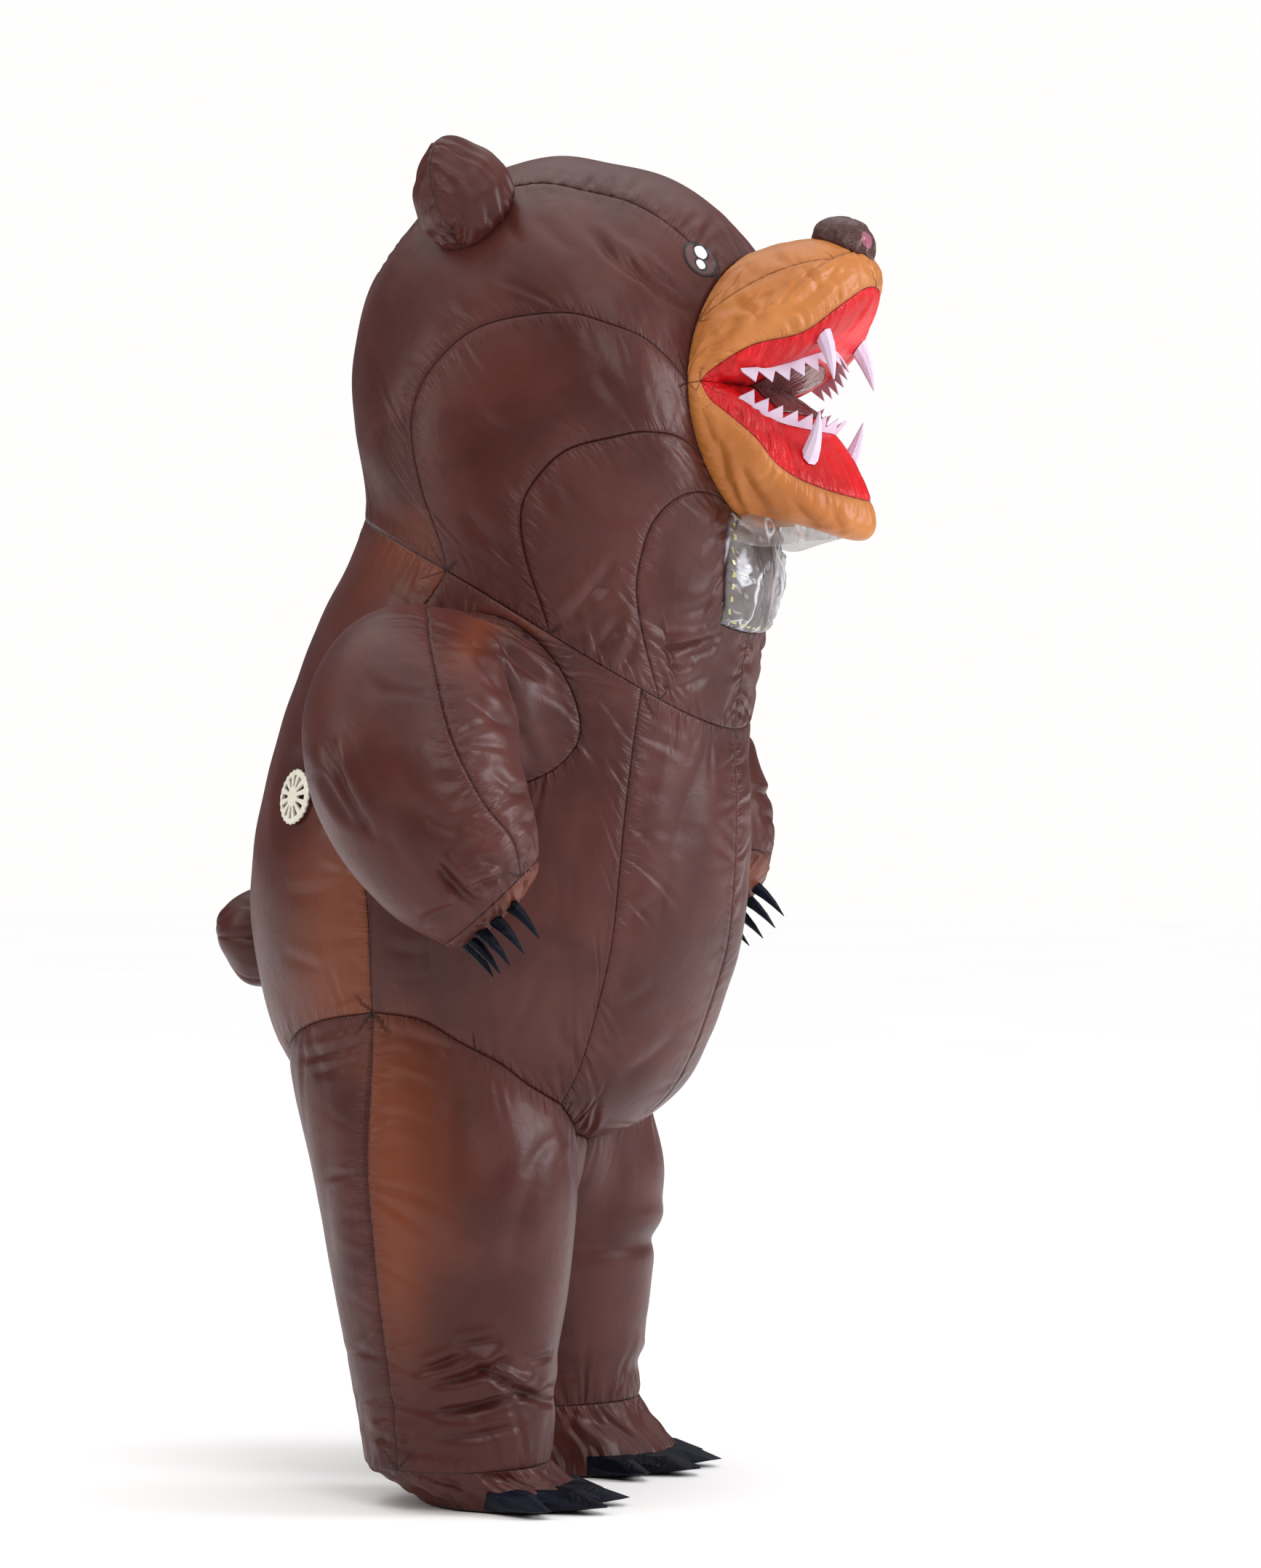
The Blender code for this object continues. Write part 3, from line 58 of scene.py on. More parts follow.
def makeCamera(s):
    turn = math.radians(s["azimuth"])
    away = Vector((math.sin(turn), -math.cos(turn), 0.0))
    right = Vector((-away.y, away.x, 0.0))
    data = bpy.data.cameras.new("camera")
    data.lens, data.sensor_width, data.clip_end = s["lens"], s["sensor"], 100.0
    camera = bpy.data.objects.new("camera", data)
    camera.location = away * s["distance"] + right * s["sideways"]
    camera.location.z = s["height"] - shoulderHeight
    camera.rotation_euler = (math.radians(90), 0, turn)
    scene.collection.objects.link(camera)
    scene.camera = camera


makeCamera(shot)

# ---- the pattern of the costume: the same sizes that the solids are made from
# back forward, back height, front forward, front height, half width, side set back, side rise
bodyRings = (
    (-0.120, 0.588, 0.138, 0.588, 0.015, 0.0, 0.0),
    (-0.190, 0.602, 0.195, 0.602, 0.120, 0.0, 0.0),
    (-0.250, 0.626, 0.250, 0.626, 0.200, 0.0, 0.0),
    (-0.325, 0.674, 0.303, 0.674, 0.290, 0.0, 0.0),
    (-0.372, 0.735, 0.338, 0.731, 0.345, 0.0, 0.0),
    (-0.402, 0.815, 0.369, 0.806, 0.385, 0.0, 0.0),
    (-0.424, 0.940, 0.405, 0.920, 0.414, 0.0, 0.0),
    (-0.424, 1.060, 0.418, 1.030, 0.420, 0.0, 0.0),
    (-0.398, 1.200, 0.422, 1.120, 0.415, 0.0, 0.005),
    (-0.355, 1.340, 0.422, 1.190, 0.405, 0.0, 0.015),
    (-0.300, 1.475, 0.420, 1.240, 0.398, 0.0, 0.030),
    (-0.213, 1.655, 0.419, 1.290, 0.400, 0.0, 0.045),
    (-0.226, 1.820, 0.428, 1.360, 0.408, 0.0, 0.030),
    (-0.228, 1.950, 0.440, 1.430, 0.408, 0.0, 0.015),
    (-0.190, 2.080, 0.452, 1.475, 0.400, 0.0, 0.0),
    (-0.110, 2.180, 0.456, 1.510, 0.392, 0.0, 0.0),
    (0.000, 2.232, 0.458, 1.540, 0.380, 0.0, 0.0),
    (0.115, 2.259, 0.459, 1.565, 0.362, 0.0, 0.0),
    (0.210, 2.242, 0.460, 1.585, 0.338, 0.005, 0.0),
    (0.300, 2.215, 0.460, 1.600, 0.305, 0.015, 0.0),
    (0.385, 2.160, 0.460, 1.613, 0.268, 0.030, 0.0),
    (0.458, 2.080, 0.460, 1.624, 0.230, 0.043, 0.0),
)


def spans(*steps):
    return np.concatenate([np.linspace(*step) for step in steps])


neckAngles = spans((0, 34, 9), (40, 67, 4), (77.3, 98, 3), (108.2, 180, 8))
muzzleAngles = spans((0, 36, 5), (42, 60, 4), (70, 90, 3), (94.5, 117, 6), (129.6, 180, 5))
neckRing, muzzleRing = 11, 21
throatAtNeck, bellyAtNeck, cheekAtNeck, sideAtNeck, backAtNeck = 8, 9, 12, 15, 23
windowAtMuzzle, throatAtMuzzle, jowlAtMuzzle = 3, 4, 8
cornerAtMuzzle, bridgeAtMuzzle, crownAtMuzzle, topAtMuzzle = 11, 17, 19, 22

# seams as (ring, angle) knots
seamKnots = {
    "hipBelly": ((0.0, 0), (1.2, 36), (2.1, 44), (2.85, 50)),
    "hipSide": ((2.85, 50), (3.45, 59), (4.1, 67), (4.55, 76), (5.0, 86), (5.1, 99)),
    "hipBack": ((5.1, 99), (4.85, 120), (4.3, 139), (3.3, 155), (1.8, 165), (0.0, 180)),
    "belly": ((2.85, 50), (4.0, 45), (6.0, 42), (8.5, 41), (11.0, 40)),
    "side": ((5.1, 99), (6.5, 99), (8.0, 104), (9.6, 107), (11.0, 98)),
    "front": ((0, 0), (4, 0), (8, 0), (11, 0)),
    "back": ((0, 180), (4, 180), (8, 180), (11, 180)),
    "cheek": ((21.0, 90), (19.6, 92), (17.5, 96), (15.4, 104), (13.6, 110), (12.4, 108), (11.0, 98)),
    "jowl": ((21.0, 60), (19.0, 62), (16.5, 66), (14.2, 74), (12.6, 75), (11.0, 67)),
    "throat": ((21.0, 36), (18.5, 42), (15.5, 46), (13.0, 44), (11.0, 34)),
    "crown": ((21.0, 142.2), (19.0, 143), (17.0, 144), (15.5, 150), (14.0, 164)),
    "crownEnd": ((14.0, 164), (14.0, 180)),
    "headBack": ((14.0, 180), (12.5, 180), (11.0, 180)),
    "bridge": ((14.0, 180), (17.5, 180), (21.0, 180)),
    "windowSide": ((21.0, 27), (13.4, 16)),
    "windowFoot": ((13.4, 16), (13.4, 0)),
    "windowMiddle": ((13.4, 0), (17.0, 0), (21.0, 0)),
    "throatMiddle": ((13.4, 0), (12.2, 0), (11.0, 0)),
}

# points inside the air, forward, side, height; a panel faces away from its own one
insideOf = {
    "body": (0.0, 0.0, 1.10), "head": (0.15, 0.0, 1.85), "bridge": (0.52, 0.0, 2.02),
    "jaw": (0.52, 0.0, 1.68), "hand": (0.16, 0.59, 1.09), "sleeve": (0.06, 0.56, 1.24),
    "leg": (-0.01, 0.21, 0.40),
}


def smoothRows(table, where):
    # Catmull-Rom curve through a table's rows, read at fractional row numbers
    rows = np.asarray(table, float)
    last = len(rows) - 1
    where = np.clip(np.asarray(where, float), 0, last)
    start = np.minimum(where.astype(int), last - 1)
    u = (where - start).reshape(where.shape + (1,) * (rows.ndim - 1))
    before, here = rows[np.maximum(start - 1, 0)], rows[start]
    there, after = rows[start + 1], rows[np.minimum(start + 2, last)]
    square = 2 * before - 5 * here + 4 * there - after
    cube = 3 * here - before - 3 * there + after
    return 0.5 * (2 * here + (there - before) * u + square * u**2 + cube * u**3)


def rightPoint(forward, side, height):
    # a point on the bear's right half, heights above the soles
    return np.stack(np.broadcast_arrays(-side, -forward, height), -1).astype(float)


def bodyPoint(place):
    # the skin at (ring, angle): a ring is a flat loop from its back point to its front point
    ring, angle = place[..., 0], np.radians(place[..., 1])
    sizes = np.moveaxis(smoothRows(bodyRings, ring), -1, 0)
    back, backHeight, front, frontHeight, half, setBack, rise = sizes
    along, beside = np.cos(angle), np.sin(angle) ** 2
    forward = (front + back) / 2 + (front - back) / 2 * along - setBack * beside
    height = (frontHeight + backHeight) / 2 + (frontHeight - backHeight) / 2 * along + rise * beside
    return rightPoint(forward, half * np.sin(angle), height)


def evenCurve(table, cells, toSpace=lambda points: points):
    # points at equal steps of real length along the smooth curve through a table
    dense = smoothRows(table, np.linspace(0, len(table) - 1, 400))
    steps = np.linalg.norm(np.diff(toSpace(dense), axis=0), axis=1)
    length = np.concatenate([[0], np.cumsum(steps)])
    wanted = np.linspace(0, length[-1], cells + 1)
    return np.stack([np.interp(wanted, length, column) for column in dense.T], -1)


def seam(name, cells):
    return evenCurve(seamKnots[name], cells, bodyPoint)


def along(ring, angles, first, last, fine):
    # part of the neck or muzzle seam, each cell cut into fine ones
    where = np.linspace(first, last, abs(last - first) * fine + 1)
    angle = np.interp(where, np.arange(len(angles)), angles)
    return np.stack([np.full(len(angle), float(ring)), angle], -1)


def neck(first, last, fine):
    return along(neckRing, neckAngles, first, last, fine)


def muzzle(first, last, fine):
    return along(muzzleRing, muzzleAngles, first, last, fine)


def joined(*pieces):
    return np.concatenate([pieces[0]] + [piece[1:] for piece in pieces[1:]])


def fill(bottom, top, left, right):
    # the two ruled surfaces between opposite seams, less the one through the corners
    a = np.linspace(0, 1, len(bottom))[None, :, None]
    b = np.linspace(0, 1, len(left))[:, None, None]
    corners = (1 - b) * ((1 - a) * bottom[0] + a * bottom[-1]) + b * ((1 - a) * top[0] + a * top[-1])
    return (1 - b) * bottom[None] + b * top[None] + (1 - a) * left[:, None] + a * right[:, None] - corners


flip = np.array([-1.0, 1.0, 1.0])


def mirrored(grid):
    return grid[:, ::-1] * flip


def fullWidth(grid):
    return np.concatenate([grid, mirrored(grid)[:, 1:]], axis=1)


def unit(vectors):
    return vectors / np.maximum(np.linalg.norm(vectors, axis=-1, keepdims=True), 1e-12)


def hump(count, wrapped=False):
    # 0 at both ends and 1 in the middle, steep at the ends as taut cloth is
    if wrapped:
        return np.ones(count)
    t = np.linspace(0, 1, count)
    return np.sqrt(4 * t * (1 - t))


def gridNormals(grid, wrap):
    wide = np.concatenate([grid[:, -1:], grid, grid[:, :1]], axis=1) if wrap else grid
    acrossRows = np.gradient(wide, axis=0)
    acrossColumns = np.gradient(wide, axis=1)
    if wrap:
        acrossRows, acrossColumns = acrossRows[:, 1:-1], acrossColumns[:, 1:-1]
    return unit(np.cross(acrossColumns, acrossRows))


def seenFromPhoto(points):
    # where a point falls in the photo, in its pixels: across, down
    turn = math.radians(-shot["azimuth"])
    sideways = -points[..., 1] * math.sin(turn) + points[..., 0] * math.cos(turn)
    depth = shot["distance"] + points[..., 0] * math.sin(turn) + points[..., 1] * math.cos(turn)
    focal = shot["lens"] / shot["sensor"] * photoSize[1]
    across = photoSize[0] / 2 + focal * (sideways - shot["sideways"]) / depth
    return across, photoSize[1] / 2 - focal * (points[..., 2] - shot["height"]) / depth


def edgeDistances(grid, wrap, pole):
    # for every point, how far each seam is and how far along that seam it lies
    rows, columns = grid.shape[:2]
    down = np.linalg.norm(np.diff(grid, axis=0), axis=-1)
    down = np.concatenate([np.zeros((1, columns)), np.cumsum(down, axis=0)])
    over = np.linalg.norm(np.diff(grid, axis=1), axis=-1)
    over = np.concatenate([np.zeros((rows, 1)), np.cumsum(over, axis=1)], axis=1)
    # the added lengths keep the four seams' stitches apart in the material
    edges = [(down, over[:1])]
    if not pole:
        edges.append((down[-1:] - down, over[-1:] + 7.0))
    if not wrap:
        edges.append((over, down[:, :1] + 13.0))
        edges.append((over[:, -1:] - over, down[:, -1:] + 19.0))
    edges = [(away, np.broadcast_to(place, away.shape)) for away, place in edges]
    return edges, down[-1].max(), over[:, -1].max()


# gathers that run out from every seam, and fade where another seam is within a corner's reach
gathers = {
    "spacing": 0.019, "reach": (0.018, 0.11), "shortness": 2.6, "depth": 0.0026, "usual": 0.05,
    "width": 0.0052, "slant": 0.30, "corner": 0.022, "start": 0.005, "span": 0.07, "lip": 0.55, "lipAt": 1.5,
}


def gatherRelief(edges, seed, strength, spacing):
    # each gather is a narrow trough that starts at the seam, slants a little and fades as it widens
    g = gathers
    shortest, longest = g["reach"]
    relief = np.zeros(edges[0][0].shape)
    for number, (away, place) in enumerate(edges):
        rng = np.random.default_rng(seed * 31 + number)
        low, high = place.min(), place.max()
        count = max(2, int((high - low) / (g["spacing"] * spacing)))
        spots = low + (np.arange(count) + rng.uniform(0.1, 0.9, count)) * (high - low) / count
        reach = shortest + (longest - shortest) * rng.uniform(0, 1, count) ** g["shortness"]
        depth = g["depth"] * strength * rng.uniform(0.35, 1.0, count) * np.sqrt(reach / g["usual"])
        slant = rng.normal(0, g["slant"], count)
        width = g["width"] * rng.uniform(0.7, 1.6, count)
        near = away < longest * 1.7
        others = [edge[0] for index, edge in enumerate(edges) if index != number]
        apart = np.min(others, axis=0)[near] if others else np.ones(near.sum())
        d, s = away[near], place[near]
        total = np.zeros(len(d))
        for k in range(count):
            mine = np.abs(s - spots[k]) < g["span"]
            dk, sk = d[mine], s[mine]
            across = (sk - spots[k] - slant[k] * dk) / (width[k] * (0.8 + 1.3 * dk / reach[k]))
            fade = (1 - np.exp(-dk / g["start"])) * np.exp(-((dk / reach[k]) ** 2))
            lips = g["lip"] * np.exp(-((np.abs(across) - g["lipAt"]) ** 2))
            total[mine] += depth[k] * fade * (lips - np.exp(-across**2))
        relief[near] += total * (1 - np.exp(-((apart / g["corner"]) ** 2)))
    return relief


# a fold's bow, its two ridges (height, distance and width in trough widths) and the fade at its ends
creases = {"bow": 0.05, "ridges": ((0.6, 1.9, 1.3), (0.3, -2.0, 1.4)), "ends": 0.55}


def foldRelief(points, facing, folds, shift):
    # a fold is a line in the photo: a trough between two softer ridges, fading to its ends
    relief = np.zeros(points.shape[:2])
    if not folds:
        return relief
    across, down = seenFromPhoto(points)
    across, down = across + shift, down - 0.6 * shift
    for x0, y0, x1, y1, width, depth in folds:
        runX, runY = x1 - x0, y1 - y0
        length = math.hypot(runX, runY)
        t = ((across - x0) * runX + (down - y0) * runY) / length**2
        off = ((across - x0) * runY - (down - y0) * runX) / length
        off = off + creases["bow"] * length * np.sin(t * 3.0)
        fade = np.clip(np.sin(np.pi * np.clip(t, 0, 1)), 0, 1) ** creases["ends"]
        shape = -np.exp(-(np.abs(off / width) ** 1.3))
        for tall, away, wide in creases["ridges"]:
            shape += tall * np.exp(-(((off / width - away) / wide) ** 2))
        relief += depth * 0.001 * fade * shape
    # only on cloth that faces the camera
    turn = math.radians(-shot["azimuth"])
    towards = facing @ np.array([-math.sin(turn), -math.cos(turn), 0.0])
    return relief * np.clip(towards * 4 + 0.2, 0, 1)


def softRelief(points, seed, size, depth):
    # broad uneven swell of the blown cloth: a few slow waves with random directions
    rng = np.random.default_rng(seed)
    total = np.zeros(points.shape[:2])
    waves, gain = 9, 2.2
    for _ in range(waves):
        way = unit(rng.normal(size=3)) * 2 * np.pi / (size * rng.uniform(0.6, 1.8))
        total += np.sin(points @ way + rng.uniform(0, 6.28)) / waves
    return total * depth * gain


def gridQuads(rows, columns, wrap):
    row, column = np.meshgrid(np.arange(rows - 1), np.arange(columns - (0 if wrap else 1)), indexing="ij")
    along = (column + 1) % columns
    here, below = row * columns, (row + 1) * columns
    return np.stack([here + column, here + along, below + along, below + column], -1).reshape(-1, 4)


def putMesh(name, points, quads, uv=None, extra=None):
    mesh = bpy.data.meshes.new(name)
    points = np.asarray(points, np.float32) - np.array([0, 0, shoulderHeight], np.float32)
    mesh.vertices.add(len(points))
    mesh.vertices.foreach_set("co", points.ravel())
    corners = quads.shape[1]
    mesh.loops.add(quads.size)
    mesh.loops.foreach_set("vertex_index", quads.ravel().astype(np.int32))
    mesh.polygons.add(len(quads))
    mesh.polygons.foreach_set("loop_start", np.arange(0, quads.size, corners, dtype=np.int32))
    mesh.polygons.foreach_set("loop_total", np.full(len(quads), corners, np.int32))
    mesh.update(calc_edges=True)
    mesh.validate()
    if uv is not None:
        layer = mesh.uv_layers.new(name="seam")
        index = np.zeros(len(mesh.loops), np.int32)
        mesh.loops.foreach_get("vertex_index", index)
        layer.data.foreach_set("uv", uv[index].astype(np.float32).ravel())
    # extra is painted light: how far each point is tinted towards the copper of cloth lit through from behind
    if extra is not None:
        held = mesh.attributes.new("glow", "FLOAT", "POINT")
        held.data.foreach_set("value", extra.astype(np.float32))
    mesh.shade_smooth()
    taken = name in bpy.data.objects
    piece = bpy.data.objects.new(name + "Panel" if taken else name, mesh)
    scene.collection.objects.link(piece)
    return piece


# what holds where a panel's own settings are silent; calm is how near a seam folds and swell fade out,
# share the limits of a cut's area in its rectangle
plainCloth = {
    "puff": 0.006, "gather": 1.0, "spacing": 1.0, "swell": 0.16, "swellDepth": 0.0018, "tuck": 0.005,
    "calm": 0.03, "folds": (), "glow": (), "held": "stretched", "share": (0.33, 0.99),
}
surfaces = {}  # finished grids, for pieces that lie on them
fanLow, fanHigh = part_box("fan_cover")
fanMiddle = (np.array(fanLow) + np.array(fanHigh)) / 2 + np.array([0, 0, shoulderHeight])
flatRound = {"reach": 0.085, "sink": 0.003}  # cloth held flat round the fan's rim
leftShift = 9  # photo pixels that the left side's folds are moved by


def putPiece(name, points, quads, finish, *extra):
    piece = putMesh(name, points, quads, *extra)
    piece.data.materials.append(finish)
    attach(piece, "root")
    return piece


def makeCloth(name, grid, inside, finish, settings, wrap=False, pole=False):
    # one cut panel: its grid, blown out between its seams, gathered, folded and tucked in at the edges
    s = dict(plainCloth, **settings)
    normals = gridNormals(grid, wrap)
    if (normals * (grid - rightPoint(*inside))).sum() < 0:
        grid = grid[:, ::-1]
        normals = gridNormals(grid, wrap)
    rows, columns = grid.shape[:2]
    edges, tall, wide = edgeDistances(grid, wrap, pole)
    lift = np.sqrt(np.clip(1 - np.linspace(1, 0, rows) ** 2, 0, 1)) if pole else hump(rows)
    lift = lift[:, None] * hump(columns, wrap)[None, :]
    seed = sum(ord(letter) * (place + 3) for place, letter in enumerate(name))
    nearest = np.min([edge[0] for edge in edges], axis=0)
    soft = 1 - np.exp(-nearest / s["calm"])
    side, shift = (flip, leftShift) if name.endswith("Left") else (np.ones(3), 0)
    relief = s["puff"] * lift + gatherRelief(edges, seed, s["gather"], s["spacing"])
    relief = relief + foldRelief(grid * side, normals * side, s["folds"], shift) * soft
    relief = relief + softRelief(grid, seed, s["swell"], s["swellDepth"]) * soft
    if name == "backRight":
        near = np.linalg.norm(grid - fanMiddle, axis=-1)
        held = np.exp(-((near / flatRound["reach"]) ** 6))
        relief = relief * (1 - held) - flatRound["sink"] * held
    grid = grid + normals * relief[..., None]
    surfaces[name] = (grid, normals, wrap)
    # tuck the seam allowance in behind the edge
    uvPlace = np.choose(np.argmin([edge[0] for edge in edges], axis=0), [edge[1] for edge in edges])
    stack = np.concatenate([grid, nearest[..., None], uvPlace[..., None]], axis=-1)
    inner = stack.copy()
    inner[..., :3] -= gridNormals(grid, wrap) * s["tuck"]
    if not wrap:
        stack = np.concatenate([inner[:, :1], stack, inner[:, -1:]], axis=1)
        inner = np.concatenate([inner[:, :1], inner, inner[:, -1:]], axis=1)
    stack = np.concatenate([inner[:1], stack] + ([] if pole else [inner[-1:]]), axis=0)
    rows, columns = stack.shape[:2]
    flat = stack.reshape(-1, 5)
    # painted light: copper where the cloth is lit through from behind
    glow = paintedBacklightAt(flat[:, :3] * side, s["glow"])
    piece = putPiece(name, flat[:, :3], gridQuads(rows, columns, wrap), finish, flat[:, [4, 3]], glow)
    # the cut: middle lines, or a closed ring's two longest extents, scaled so that the area fits in them
    if wrap:
        spread = grid.reshape(-1, 3) - grid.reshape(-1, 3).mean(0)
        axes = np.linalg.svd(spread[::7], full_matrices=False)[2]
        tall, wide = np.sort(np.ptp(spread @ axes.T, axis=0))[1:]
    return piece


def paintedBacklightAt(points, patches):
    # painted light of cloth lit through from behind: middle across, down, half width, half height, slant,
    # strength, in the photo
    across, down = seenFromPhoto(points)
    total = np.zeros(across.shape)
    for x, y, halfWide, halfTall, slant, strength in patches:
        offset = (across - x - slant * (down - y)) / halfWide
        total += strength * np.exp(-(offset**2) - ((down - y) / halfTall) ** 4)
    return np.clip(total, 0, 1)


# ---- materials
# each lit colour is painted light: the copper of cloth lit through from behind
finishes = {
    "brownNylon": {
        "dark": (0.052, 0.0100, 0.0072), "light": (0.080, 0.0195, 0.0150), "lit": (0.160, 0.038, 0.015),
        "thread": (0.030, 0.010, 0.010), "sheen": (0.85, 0.50, 0.58), "sheenWeight": 0.05,
        "roughness": 0.41, "crinkle": 0.12,
    },
    "tanNylon": {
        "dark": (0.410, 0.130, 0.027), "light": (0.510, 0.188, 0.048), "lit": (0.70, 0.34, 0.10),
        "thread": (0.200, 0.090, 0.035), "sheen": (1.0, 0.85, 0.6), "sheenWeight": 0.05,
        "roughness": 0.40, "crinkle": 0.22,
    },
    "redNylon": {
        "dark": (0.420, 0.001, 0.003), "light": (0.680, 0.003, 0.008), "lit": (0.9, 0.02, 0.03),
        "thread": (0.250, 0.004, 0.008), "sheen": (1.0, 0.5, 0.6), "sheenWeight": 0.04,
        "roughness": 0.36, "crinkle": 0.5,
    },
    "noseCloth": {
        "dark": (0.040, 0.014, 0.013), "light": (0.085, 0.034, 0.032), "sheen": (0.8, 0.6, 0.7),
        "sheenWeight": 0.08, "roughness": 0.33, "crinkle": 0.8,
    },
    "blackCloth": {
        "dark": (0.002, 0.003, 0.007), "light": (0.006, 0.008, 0.018), "sheen": (0.5, 0.6, 0.9),
        "sheenWeight": 0.01, "roughness": 0.38, "crinkle": 0.5, "specular": 0.11,
    },
}


def newMaterial(name):
    made = bpy.data.materials.new(name)
    made.use_nodes = True
    tree = made.node_tree
    return made, tree, tree.nodes["Principled BSDF"], tree.nodes.new("ShaderNodeTexCoord").outputs


def link(tree, node, socket, *values):
    # each value is linked to its socket, or set on it when it is a plain number or colour
    for place, value in zip(socket, values):
        if hasattr(value, "is_output"):
            tree.links.new(value, node.inputs[place])
        else:
            node.inputs[place].default_value = value
    return node


def maths(tree, operation, a, b=0.0, c=0.0):
    node = tree.nodes.new("ShaderNodeMath")
    node.operation = operation
    return link(tree, node, (0, 1, 2), a, b, c).outputs[0]


def times(tree, a, b):
    return maths(tree, "MULTIPLY", a, b)


def parts(tree, vector):
    return link(tree, tree.nodes.new("ShaderNodeSeparateXYZ"), (0,), vector).outputs


def noise(tree, vector, scale, detail=2.0, distortion=0.0):
    node = tree.nodes.new("ShaderNodeTexNoise")
    link(tree, node, ("Vector", "Scale", "Detail", "Distortion"), vector, scale, detail, distortion)
    return node.outputs["Fac"]


def ridged(tree, value):
    return maths(tree, "ABSOLUTE", maths(tree, "SUBTRACT", value, 0.5))


def mixColour(tree, factor, a, b):
    node = tree.nodes.new("ShaderNodeMix")
    node.data_type = "RGBA"
    return link(tree, node, (0, 6, 7), factor, a, b).outputs[2]


def ramp(tree, value, low, high):
    node = tree.nodes.new("ShaderNodeMapRange")
    node.interpolation_type = "SMOOTHSTEP"
    return link(tree, node, (0, 1, 2, 3, 4), value, low, high, 0.0, 1.0).outputs[0]


def fall(tree, value, low, high):
    return maths(tree, "SUBTRACT", 1.0, ramp(tree, value, low, high))


def dashes(tree, along, perMetre):
    return maths(tree, "FRACT", times(tree, along, perMetre))


def bump(tree, height, distance, *before):
    node = tree.nodes.new("ShaderNodeBump")
    return link(tree, node, ("Height", "Distance", "Normal"), height, distance, *before).outputs["Normal"]


# nylon in metres and cycles per metre: (scale, detail, distortion) of each noise, and the seam's marks
nylon = {
    "tone": (5.5, 4.0, 0.6), "toneEnds": (0.35, 0.68), "crinkle": (17.0, 3.0, 1.4), "crinkleHeight": 0.010,
    "weave": (60.0, 3.0), "weaveHeight": 0.0012, "roughSpread": 0.12, "sheenRoughness": 0.35,
    "pucker": (150.0, 16.0), "puckerReach": (0.004, 0.040), "puckerHeight": 0.0032,
    "seam": (0.0006, 0.0022), "seamShade": 0.85, "patchEdge": 1.15,
    "stitches": 250.0, "stitchGap": 0.35, "stitchAt": 0.0055, "stitchWide": 0.0005, "stitchShade": 0.4,
}


def coatedCloth(name, s, seams=True):
    # thin coated nylon: crinkled, faintly woven, gathered and stitched along its seams
    n = nylon
    made, tree, shader, place = newMaterial(name)
    spot = place["Object"]
    tone = ramp(tree, noise(tree, spot, *n["tone"]), *n["toneEnds"])
    colour = mixColour(tree, tone, (*s["dark"], 1), (*s["light"], 1))
    fine = noise(tree, spot, *n["weave"])
    if "patch" in s:
        away = tree.nodes.new("ShaderNodeVectorMath")
        away.operation = "DISTANCE"
        link(tree, away, (0, 1), spot, s["patch"])
        near = fall(tree, away.outputs["Value"], s["patchSize"], s["patchSize"] * n["patchEdge"])
        colour = mixColour(tree, near, colour, s["patchColour"])
    rumple = ridged(tree, noise(tree, spot, *n["crinkle"]))
    height = bump(tree, rumple, n["crinkleHeight"] * s["crinkle"])
    height = bump(tree, fine, n["weaveHeight"] * s["crinkle"], height)
    if seams:
        thread = (*s["thread"], 1)
        along, away, _ = parts(tree, place["UV"])
        # painted light: the colour is mixed towards the copper of cloth lit through from behind, by the
        # attribute that putMesh stores
        held = tree.nodes.new("ShaderNodeAttribute")
        held.attribute_name = "glow"
        colour = mixColour(tree, held.outputs["Fac"], colour, (*s["lit"], 1))
        stretch = tree.nodes.new("ShaderNodeCombineXYZ")
        link(tree, stretch, (0, 1), *(times(tree, *pair) for pair in zip((along, away), n["pucker"])))
        pucker = times(tree, noise(tree, stretch.outputs[0], 1.0, 2.0, 0.3),
            fall(tree, away, *n["puckerReach"]))
        height = bump(tree, pucker, n["puckerHeight"], height)
        colour = mixColour(tree, times(tree, fall(tree, away, *n["seam"]), n["seamShade"]), colour, thread)
        dash = maths(tree, "GREATER_THAN", dashes(tree, along, n["stitches"]), n["stitchGap"])
        line = maths(tree, "COMPARE", away, n["stitchAt"], n["stitchWide"])
        colour = mixColour(tree, times(tree, times(tree, dash, line), n["stitchShade"]), colour, thread)
    rough = maths(tree, "MULTIPLY_ADD", fine, n["roughSpread"], s["roughness"] - n["roughSpread"] / 2)
    link(tree, shader, ("Base Color", "Roughness", "Normal"), colour, rough, height)
    sheen = (s["sheenWeight"], n["sheenRoughness"], (*s["sheen"], 1))
    link(tree, shader, ("Sheen Weight", "Sheen Roughness", "Sheen Tint"), *sheen)
    link(tree, shader, ("Specular IOR Level",), s.get("specular", 0.28))
    return made


# plain stuffs: scale and detail of their tone spots and grain, the grain's height, two colours
stuffs = {
    "whiteFelt": {
        "tone": (26.0, 3.0), "colours": ((0.60, 0.47, 0.66, 1), (0.74, 0.66, 0.78, 1)),
        "grain": (420.0, 3.0), "height": 0.0010, "shader": {"Roughness": 0.85, "Sheen Weight": 0.35},
    },
    "creamPlastic": {
        "tone": (60.0, 2.0), "colours": ((0.70, 0.67, 0.56, 1), (0.82, 0.80, 0.70, 1)),
        "grain": (700.0, 2.0), "height": 0.0002, "shader": {"Roughness": 0.42},
    },
    "paleFloor": {
        "tone": (0.8, 2.0), "colours": ((0.97, 0.97, 0.97, 1), (0.93, 0.93, 0.94, 1)),
        "shader": {"Roughness": 0.9, "Specular IOR Level": 0.1},
    },
}


